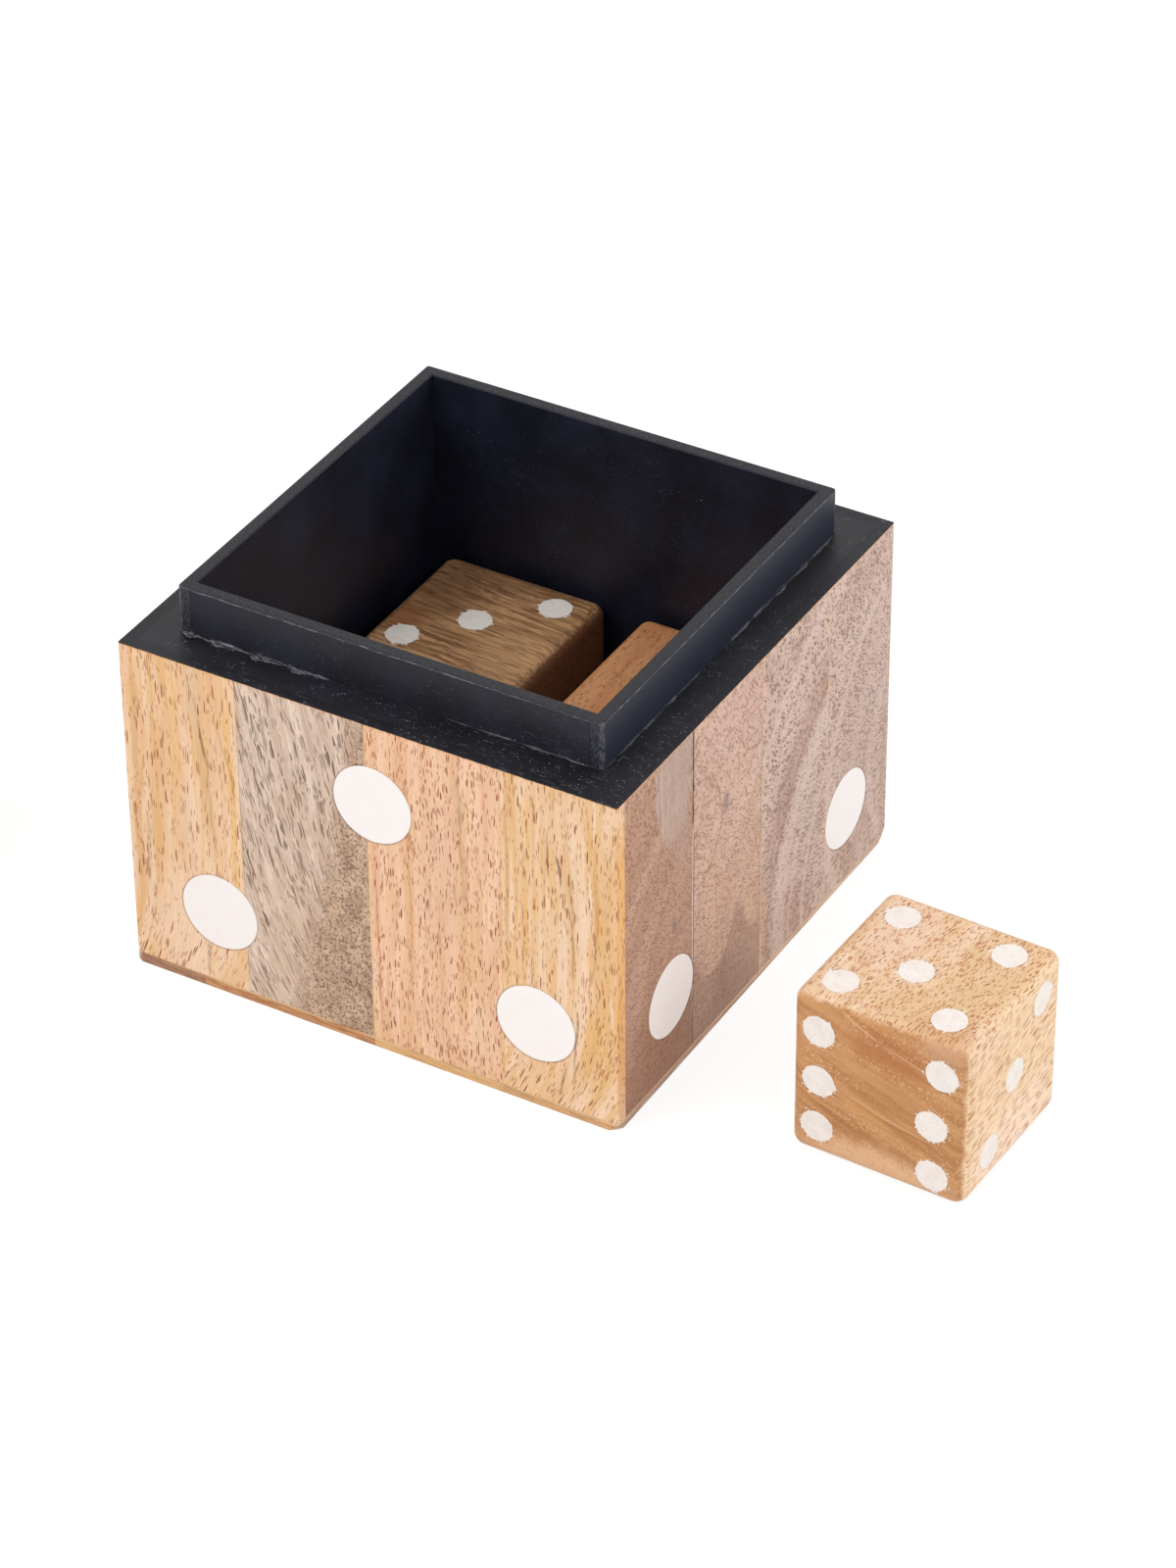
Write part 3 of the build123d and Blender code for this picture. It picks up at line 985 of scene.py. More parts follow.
@dataclass(frozen=True)
class BlackBoards:
    """The painted boards inside the cladding: cores, floor and liners, whose tops are the lip."""

    liners: tuple[str, ...] = ("left", "right", "front", "back")

    def dress(self) -> None:
        """Paints cores and floor plain, and the liners with a worn lip, painted sheen on their outer faces and a
        painted highlight down their corners.
        """
        for place, seed in zip(self.liners, (1.0, 2.0, 3.0, 4.0)):
            assign(f"box_core_{place}", self.plain(f"core_{place}", seed))
            assign(f"box_liner_{place}", self.liner(f"liner_{place}", seed + 10))
        assign("box_floor", self.plain("inside_floor", 5.0))

    def plain(self, name: str, seed: float) -> bpy.types.Material:
        """Paint, with nothing else but the painted cool cast inside the lip.

        Args:
            name: material name.
            seed: shift of its marks.

        Returns:
            The material.
        """
        bench = Bench(name)
        point = bench.point()
        coat = BLACK.lay(bench, point, seed)
        colour = self.painted_cool_cast(coat.colour, point.part("X"), point.part("Y"))
        return Coat(colour, coat.roughness, coat.height).close(bench, BOARD_PAINT)

    def liner(self, name: str, seed: float) -> bpy.types.Material:
        """Paint with a fibrous top, pale worn lines along the top's edges and a rough butt end, with painted
        sheen on the outer faces and a painted highlight down the corners.

        Args:
            name: material name.
            seed: shift of its marks.

        Returns:
            The material.
        """
        bench = Bench(name)
        point = bench.point()
        x, y, z = (point.part(axis) for axis in "XYZ")
        coat = BLACK.lay(bench, point, seed)
        # Painted reflection: the outer faces across X are tinted a lighter blue, standing in for a cool light
        # mirrored in the satin paint.
        painted_sheen_blue = (abs(x) - LIP_X).fade(-0.9, -0.4) * 0.8
        colour = bench.mix(painted_sheen_blue, self.painted_cool_cast(coat.colour, x, y), shade("161a29"))
        top = z.fade(LIP_Z - 0.35, LIP_Z - 0.1)
        fibre = bench.noise(point, 0.36, 3.0, 0.75, seed + 3).fade(0.42, 0.66)
        out = (abs(x) - LIP_X).most(abs(y) - LIP_Y)
        # Painted sheen: the lip's outer faces, below the top, are made up to 30% lighter.
        colour = colour * (1 + out.fade(-0.5, -0.2) * (1 - top) * 0.30)
        colour = bench.mix(top * (0.9 - fibre * 0.75), colour, shade("020203"))
        colour = bench.mix(top * fibre * 0.34, colour, shade("4a4957"))
        wobble = (bench.noise(point, (3.0, 3.0, 1.0), 2.0, 0.6, seed + 5) - 0.5) * 0.5
        broken = bench.noise(point, 3.6, 3.0, 0.7, seed + 7).fade(0.44, 0.60)
        edge = abs(z - (LIP_Z - 0.45) + wobble).fade(0.17, 0.04) * out.fade(-0.6, -0.2)
        colour = bench.mix(edge * (0.12 + broken * 0.38), colour, shade("9a9aa3"))
        # A pale line down each upright corner: worn paint, drawn as a painted highlight as well.
        corner = (LIP_X + LIP_Y - abs(x) - abs(y)).fade(1.2, 0.5)
        rubbed_and_highlit = bench.noise(point, (0.8, 0.8, 1.6), 3.0, 0.7, seed + 9).fade(0.36, 0.60)
        colour = bench.mix(corner * rubbed_and_highlit * 0.55, colour, shade("6b6b76"))
        outer = (abs(y) - LIP_Y).fade(-0.4, -0.1)
        butt = abs(x).fade(LIP_X - LINER_T - 0.3, LIP_X - LINER_T + 0.1) * outer
        torn = bench.noise(point, (0.5, 0.5, 1.2), 3.0, 0.75, seed + 12)
        colour = bench.mix(butt * torn.fade(0.44, 0.62) * 0.6, colour, shade("4d4d57"))
        seam = abs(abs(x) - (LIP_X - LINER_T) + wobble * 0.3).fade(0.22, 0.08) * outer
        colour = bench.mix(seam * 0.8, colour, shade("0b0b0e"))
        height = coat.height + rubbed_and_highlit * corner * 0.3 + butt * (torn - 0.5) * 1.2 + top * fibre * 0.9
        return Coat(colour, coat.roughness + top * 0.10, height).close(bench, LINER_PAINT)

    @staticmethod
    def painted_cool_cast(colour: Signal, x: Signal, y: Signal) -> Signal:
        """Turns the colour bluer on the faces inside the lip: painted light, a cool cast against the warm light
        that the dice bounce onto them.
        """
        inside = (LIP_X - LINER_T / 2 - abs(x)).least(LIP_Y - LINER_T / 2 - abs(y)).fade(0.0, 0.6)
        return colour * (1 + inside * (0.0, 0.20, 0.45))


@dataclass(frozen=True)
class FootBead:
    """A lumpy bead of paint along the foot of the lip.

    The path is straight; the profile is a quarter circle from the ledge to the lip's face, whose radius is a
    sum of sines along the path and sinks to nothing at both ends.
    """

    name: str
    start: tuple[float, float]
    end: tuple[float, float]
    out: tuple[float, float]
    width: float
    rise: float
    seed: int
    # glint: strength of the painted highlight drawn along the bead's stringy ridges
    glint: float = 0.25

    def surface(self, rows: int = 160, ring: int = 9) -> np.ndarray:
        """Points of the bead.

        Each row's radius is its taper times a base and five sines of random phase; each point of the ring is
        the corner plus radius times the cosine outward and the sine upward, with a ripple for stringy paint.

        Args:
            rows: points along the path.
            ring: points over the quarter circle.

        Returns:
            A grid of rings, rows x (ring + 1) x 3, in mm.
        """
        rng = np.random.default_rng(self.seed)
        t = np.linspace(0.0, 1.0, rows)[:, None]
        length = math.dist(self.start, self.end)
        waves = 2 * np.pi * length / np.array([9.0, 5.2, 3.1, 1.7, 0.9])
        weights = np.array([0.30, 0.16, 0.08, 0.04, 0.03])
        lumps = (np.sin(t * waves + rng.uniform(0, 2 * np.pi, 5)) * weights).sum(1, keepdims=True)
        taper = np.clip(np.minimum(t, 1 - t) * length / 3.0, 0.0, 1.0) ** 0.7
        radius = taper * np.clip(0.62 + lumps, 0.12, 1.4)
        angle = np.linspace(0.0, np.pi / 2, ring)[None, :]
        ripple = 1 + 0.14 * np.sin(angle * 7 + t * waves[1] + 2 * np.sin(t * waves[0]))
        reach = np.concatenate([radius * ripple * np.cos(angle) * self.width, np.full_like(t, -0.12)], 1)
        lift = np.concatenate([radius * ripple * np.sin(angle) * self.rise, np.full_like(t, -0.05)], 1)
        reach[:, ring - 1] = -0.08
        lift[:, 0] = -0.05
        line = np.array(self.start) + t * (np.array(self.end) - np.array(self.start))
        return np.stack([line[:, :1] + reach * self.out[0], line[:, 1:] + reach * self.out[1],
                         SPLIT_Z + lift], axis=-1)

    def build(self) -> None:
        """Makes the bead's object, paints it with a painted highlight along its ridges, and fixes it to the box.
        """
        piece = tube(self.name, self.surface())
        bench = Bench(f"{self.name}_paint")
        point = bench.point()
        coat = BlackPaint(worn="3c3c45").lay(bench, point, 30.0 + self.seed)
        drawn = (6.0, 0.4, 0.4) if self.out[0] == 0 else (0.4, 6.0, 0.4)
        # Stringy ridges: they raise the relief, and are drawn pale as a painted highlight.
        ridges_and_glint = bench.noise(point, drawn, 2.0, 0.6, float(self.seed)).fade(0.44, 0.62)
        colour = bench.mix(ridges_and_glint * self.glint, coat.colour, shade("8f8f9c"))
        paint = Coat(colour, coat.roughness - 0.08, coat.height + ridges_and_glint * 0.5)
        piece.data.materials.append(paint.close(bench, BEAD_PAINT))
        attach(piece, "box")
        log.info("%s laid", self.name)


def tube(name: str, grid: np.ndarray) -> bpy.types.Object:
    """A closed tube from a grid of rings, each ring's last point joined to its first and both ends capped.

    Args:
        name: name of the piece.
        grid: rows x ring x 3 array of places, mm.

    Returns:
        The object, at the origin.
    """
    rows, ring = grid.shape[:2]
    number = np.arange(rows * ring).reshape(rows, ring)
    ahead = np.roll(number, -1, axis=1)
    quads = np.stack([number[:-1], ahead[:-1], ahead[1:], number[1:]], axis=-1).reshape(-1, 4)
    caps = [number[0][::-1].tolist(), number[-1].tolist()]
    mesh = bpy.data.meshes.new(name)
    mesh.from_pydata((grid.reshape(-1, 3) * MM).tolist(), [], quads.tolist() + caps)
    mesh.validate()
    made = bpy.data.objects.new(name, mesh)
    bpy.context.scene.collection.objects.link(made)
    return made


@dataclass(frozen=True)
class Lid:
    """The lid beside the box: black inside, clad outside in the box's woods.

    `seams` are the places of the glue lines between the slats of each wall, mm to the right seen from outside.
    """

    seams: dict = field(default_factory=lambda: {
        "front": (-31.4, 0.4, 32.5), "back": (-32.0, -1.5, 29.5), "left": (-29.5, 0.8, 30.6),
        "right": (-28.6, 1.5, 31.0)})
    woods: tuple[Wood, ...] = (MANGO_YELLOW, MANGO_GREY, MANGO_PINK, MANGO_PALE)
    top_woods: tuple[Wood, ...] = (MANGO_TAN, WALNUT, MANGO_YELLOW, MANGO_PINK)

    def dress(self) -> None:
        """Gives the lid's boards, slats, strips and discs their finishes."""
        centre = (*LID_AT, 0.0)
        for place, seed in zip(("left", "right", "front", "back"), (51.0, 52.0, 53.0, 54.0)):
            bench = Bench(f"lid_core_{place}")
            paint = BLACK.lay(bench, bench.point(centre), seed).close(bench, LID_PAINT)
            assign(f"lid_core_{place}", paint)
            assign(f"lid_slats_{place}", self.wall(Side[place.upper()], centre, seed))
            assign(f"lid_discs_{place}", RESIN.dress(f"lid_disc_{place}"))
        bench = Bench("lid_panel_paint")
        assign("lid_panel", BLACK.lay(bench, bench.point(centre), 55.0).close(bench, LID_PAINT))
        for number, wood in enumerate(self.top_woods, 1):
            bench = Bench(f"lid_strip_{number}")
            coat = wood.lay(bench, Grain.ALONG_Y.place(bench, bench.point(centre)), 60.0 + number)
            assign(f"lid_top_strip_{number}", coat.close(bench, SEALED_WOOD))
        assign("lid_discs_top", RESIN.dress("lid_disc_top"))

    def wall(self, side: Side, centre: tuple[float, float, float], seed: float) -> bpy.types.Material:
        """One material for the four slats of a lid wall, which changes its wood at each seam.

        Args:
            side: the wall.
            centre: middle of the lid where it lies, mm.
            seed: shift of its figure.

        Returns:
            The material.
        """
        bench = Bench(f"lid_slats_{side.name.lower()}")
        point = bench.point(centre)
        across = point.part(side.across) * float(side.sense)
        woods = (WALNUT,) * 4 if side is Side.RIGHT else self.woods
        coats = [wood.lay(bench, Grain.ALONG_Z.place(bench, point), seed + number * 2.3)
                 for number, wood in enumerate(woods)]
        coat = coats[0]
        for own, seam in zip(coats[1:], self.seams[side.name.lower()]):
            coat = own.over(bench, across.fade(seam - 0.02, seam + 0.02), coat)
        return painted(bench, point, coat, 0.0, upward=False).close(bench, SEALED_WOOD)


PIP_PLACES = {
    1: ((0, 0),),
    2: ((-1, 1), (1, -1)),
    3: ((-1, 1), (0, 0), (1, -1)),
    4: ((-1, -1), (-1, 1), (1, -1), (1, 1)),
    5: ((0, 0), (-1, -1), (-1, 1), (1, -1), (1, 1)),
    6: ((-1, -1), (-1, 0), (-1, 1), (1, -1), (1, 0), (1, 1)),
}


@dataclass(frozen=True)
class Die:
    """A wooden die: a rounded cube with pips of filler whose edges break into the wood around them.

    `values` are the pips on top, in front and to the right, and the faces across from them make up seven.
    `drilled` holds the places of the pips of a face that was drilled unevenly. `lean` slants the grain, mm aside
    for each mm along it; `flank` draws the figure out on the two faces across the die's X. `ends` is the wood as
    cut across, for a die whose end grain is seen.
    """

    name: str
    centre: tuple[float, float, float]
    turn: float
    wood: Wood
    grain: Grain
    seed: float
    values: tuple[int, int, int]
    drilled: dict = field(default_factory=dict)
    lean: tuple[float, float] = (0.0, 0.0)
    flank: float = 1.0
    marks: tuple[Mark, ...] = ()
    ends: Optional[Wood] = None
    end_marks: tuple[Mark, ...] = ()
    # painted light and shade laid over the two faces across X
    flank_light_and_shade: tuple[Mark, ...] = ()

    def pips(self) -> list[tuple[float, float, float]]:
        """Places of all the pips in the die's own frame.

        Returns:
            The places, mm.
        """
        top, front, right = self.values
        h = DIE / 2
        faces: dict[str, tuple[int, Callable]] = {
            "top": (top, lambda u, v: (u, v, h)), "bottom": (7 - top, lambda u, v: (u, -v, -h)),
            "front": (front, lambda u, v: (u, -h, v)), "back": (7 - front, lambda u, v: (-u, h, v)),
            "right": (right, lambda u, v: (h, u, v)), "left": (7 - right, lambda u, v: (-h, -u, v)),
        }
        places = []
        for face, (value, put) in faces.items():
            spots = self.drilled.get(face, [(u * PIP_U, v * PIP_U) for u, v in PIP_PLACES[value]])
            places += [put(u, v) for u, v in spots]
        return places

    def dress(self) -> None:
        """Gives the die's body its wood and ragged pip edges, and its pips their filler."""
        bench = Bench(f"{self.name}_wood")
        point = bench.point(self.centre, self.turn)
        u, v, w = (point.part(axis) for axis in "XYZ")
        side = abs(u).fade(DIE / 2 - 1.4, DIE / 2 - 0.5)

        def touch(colour: Signal) -> Signal:
            """Adds the die's marks: those of the top as seen from above, then those of the flanks, which paint
            light and shade.
            """
            colour = marked(bench, colour, self.marks, u, v, point)
            return bench.mix(side, colour, marked(bench, colour, self.flank_light_and_shade, v, w, point))

        run = self.grain.place(bench, point)
        along = run.part("Z")
        run = run - bench.join(along * self.lean[0], along * self.lean[1], along * side * (1 - 1 / self.flank))
        coat = self.wood.lay(bench, run, self.seed, touch)
        if self.ends:
            coat = self.end_grain(bench, point, coat)
        near = reduce(Signal.least, (point.distance(place) for place in self.pips()))
        ragged = (bench.noise(point, 1.8, 2.0, 0.6, self.seed + 51) - 0.5) * 0.5
        tear = bench.noise(run, (0.7, 0.7, 2.6), 2.0, 0.6, self.seed + 53).fade(0.52, 0.74) * 1.1
        white = (near - ragged - tear).fade(PIP_R + 0.06, PIP_R - 0.06)
        coat = coat.tinted(bench, near.fade(PIP_R + 0.8, PIP_R) * 0.25, coat.colour * 0.6)
        coat = FILLER.lay(bench, point).over(bench, white, coat)
        assign(f"{self.name}_body", coat.close(bench, SEALED_WOOD))
        bench = Bench(f"{self.name}_filler")
        filler = FILLER.lay(bench, bench.point(self.centre, self.turn))
        assign(f"{self.name}_pips", filler.close(bench, PIP_FILLER))

    def end_grain(self, bench: Bench, point: Signal, side: Coat) -> Coat:
        """End grain on the two faces that the grain runs into: slanting growth bands and fine pale dots.

        Args:
            bench: material being made.
            point: place on the die, mm.
            side: the coat of the other faces.

        Returns:
            The two coats together.
        """
        x, y, z = (point.part(axis) for axis in "XYZ")
        ragged = (bench.noise(point, 3.0, 2.0, 0.5, self.seed + 60) - 0.5) * 1.6
        end = (abs(point.part(self.grain.value[2])) + ragged).fade(DIE / 2 - 1.6, DIE / 2 - 0.5)
        bend = (bench.noise(point, 14.0, 2.0, 0.5, self.seed + 61) - 0.5) * 3.0
        slant = bench.join(x * 0.95 - z * 0.31 + bend, y * 0.2, x * 0.31 + z * 0.95 + bend)
        bands = bench.noise(slant, (26.0, 20.0, 1.5), 3.0, 0.6, self.seed + 63)
        colour = bench.mix(bands.fade(0.36, 0.66), shade(self.ends.pale), shade(self.ends.deep))
        colour = marked(bench, colour, self.end_marks, x, z, point)
        grit = bench.noise(point, 0.3, 2.0, 0.6, self.seed + 64) - 0.5
        dots = bench.noise(point, 0.62, 1.0, 0.5, self.seed + 65)
        zone = bench.noise(slant, (16.0, 16.0, 3.0), 2.0, 0.5, self.seed + 66).fade(0.40, 0.58)
        colour = colour * (1 + grit * 0.16)
        colour = bench.mix(dots.fade(0.57, 0.68) * zone * 0.5, colour, shade(self.ends.flush))
        colour = bench.mix(dots.fade(0.38, 0.28) * 0.3, colour, shade(self.ends.pore))
        return Coat(colour, side.roughness, side.height).over(bench, end, side)


@dataclass(frozen=True)
class Lamp:
    """A wide soft sun: strength, the way it comes from and how wide it is in degrees."""

    name: str
    strength: float
    source: tuple[float, float, float]
    spread: float

    def build(self) -> None:
        """Makes the lamp."""
        data = bpy.data.lights.new(self.name, "SUN")
        data.energy, data.angle = self.strength, math.radians(self.spread)
        made = bpy.data.objects.new(self.name, data)
        made.rotation_euler = Vector(self.source).to_track_quat("Z", "Y").to_euler()
        bpy.context.scene.collection.objects.link(made)


@dataclass(frozen=True)
class Studio:
    """Floor, sky, lamps and camera.

    The eye is in mm, the camera's three angles in degrees, its lens in mm on a film 36 mm wide and the floor's
    reach in metres. `sky` is the strength of the light that the sky gives; it is seen at full strength.
    """

    eye: tuple[float, float, float] = (503.93, -832.37, 735.79)
    azimuth: float = 30.261
    elevation: float = 35.927
    roll: float = -0.438
    lens: float = 126.93
    sky: float = 0.86
    floor_reach: float = 4.0
    floor_glow: float = 0.82
    floor_lit: float = 0.24
    floor_plain: float = 0.8
    lamps: tuple[Lamp, ...] = (
        Lamp("key", 0.95, (-0.35, -0.62, 0.72), 35.0),
        Lamp("fill_right", 0.81, (0.85, 0.30, 0.42), 50.0),
    )

    def build(self) -> None:
        """Makes the whole studio."""
        self.camera()
        self.world()
        self.floor()
        for lamp in self.lamps:
            lamp.build()
        bpy.context.scene.view_settings.view_transform = "Standard"
        log.info("studio built")

    def camera(self) -> None:
        """Camera from its eye point and three angles: back is the way from the object to the eye."""
        az, el, roll = (math.radians(a) for a in (self.azimuth, self.elevation, self.roll))
        back = Vector((math.sin(az) * math.cos(el), -math.cos(az) * math.cos(el), math.sin(el)))
        level = Vector((math.cos(az), math.sin(az), 0.0))
        rise = level.cross(-back)
        right = level * math.cos(roll) + rise * math.sin(roll)
        up = rise * math.cos(roll) - level * math.sin(roll)
        data = bpy.data.cameras.new("camera")
        data.lens, data.sensor_width, data.clip_end = self.lens, 36.0, 50.0
        made = bpy.data.objects.new("camera", data)
        made.matrix_world = Matrix((right, up, back)).transposed().to_4x4()
        made.location = Vector(self.eye) * MM
        bpy.context.scene.collection.objects.link(made)
        bpy.context.scene.camera = made

    def world(self) -> None:
        """Even white sky, softer for the light it gives than for what is seen of it."""
        bench = Bench("sky", sky=True)
        level = bench.seen() * (1.0 - self.sky) + self.sky
        bpy.context.scene.world = bench.finish(
            bench.node("ShaderNodeBackground", {}, {"Color": (1.0, 1.0, 1.0, 1.0), "Strength": level}))

    def floor(self) -> None:
        """White floor, part lit and part its own light as seen, so that it stays white and keeps a shadow."""
        mesh = bpy.data.meshes.new("floor")
        reach = self.floor_reach
        mesh.from_pydata([(-reach, -reach, 0), (reach, -reach, 0), (reach, reach, 0), (-reach, reach, 0)],
                         [], [(0, 1, 2, 3)])
        floor = bpy.data.objects.new("floor", mesh)
        bpy.context.scene.collection.objects.link(floor)
        bench = Bench("floor_white")
        glow = bench.node("ShaderNodeEmission", {}, {"Color": (1, 1, 1, 1), "Strength": self.floor_glow})
        lit = bench.node("ShaderNodeBsdfDiffuse", {}, {"Color": (*(self.floor_lit,) * 3, 1)})
        shown = bench.node("ShaderNodeAddShader", {}, {0: glow, 1: lit})
        plain = bench.node("ShaderNodeBsdfDiffuse", {}, {"Color": (*(self.floor_plain,) * 3, 1)})
        white = bench.node("ShaderNodeMixShader", {}, {0: bench.seen(), 1: plain, 2: shown})
        mesh.materials.append(bench.finish(white))


GLUE_PALE = "e9c88f"
BAND_GOLD = "e6b670"

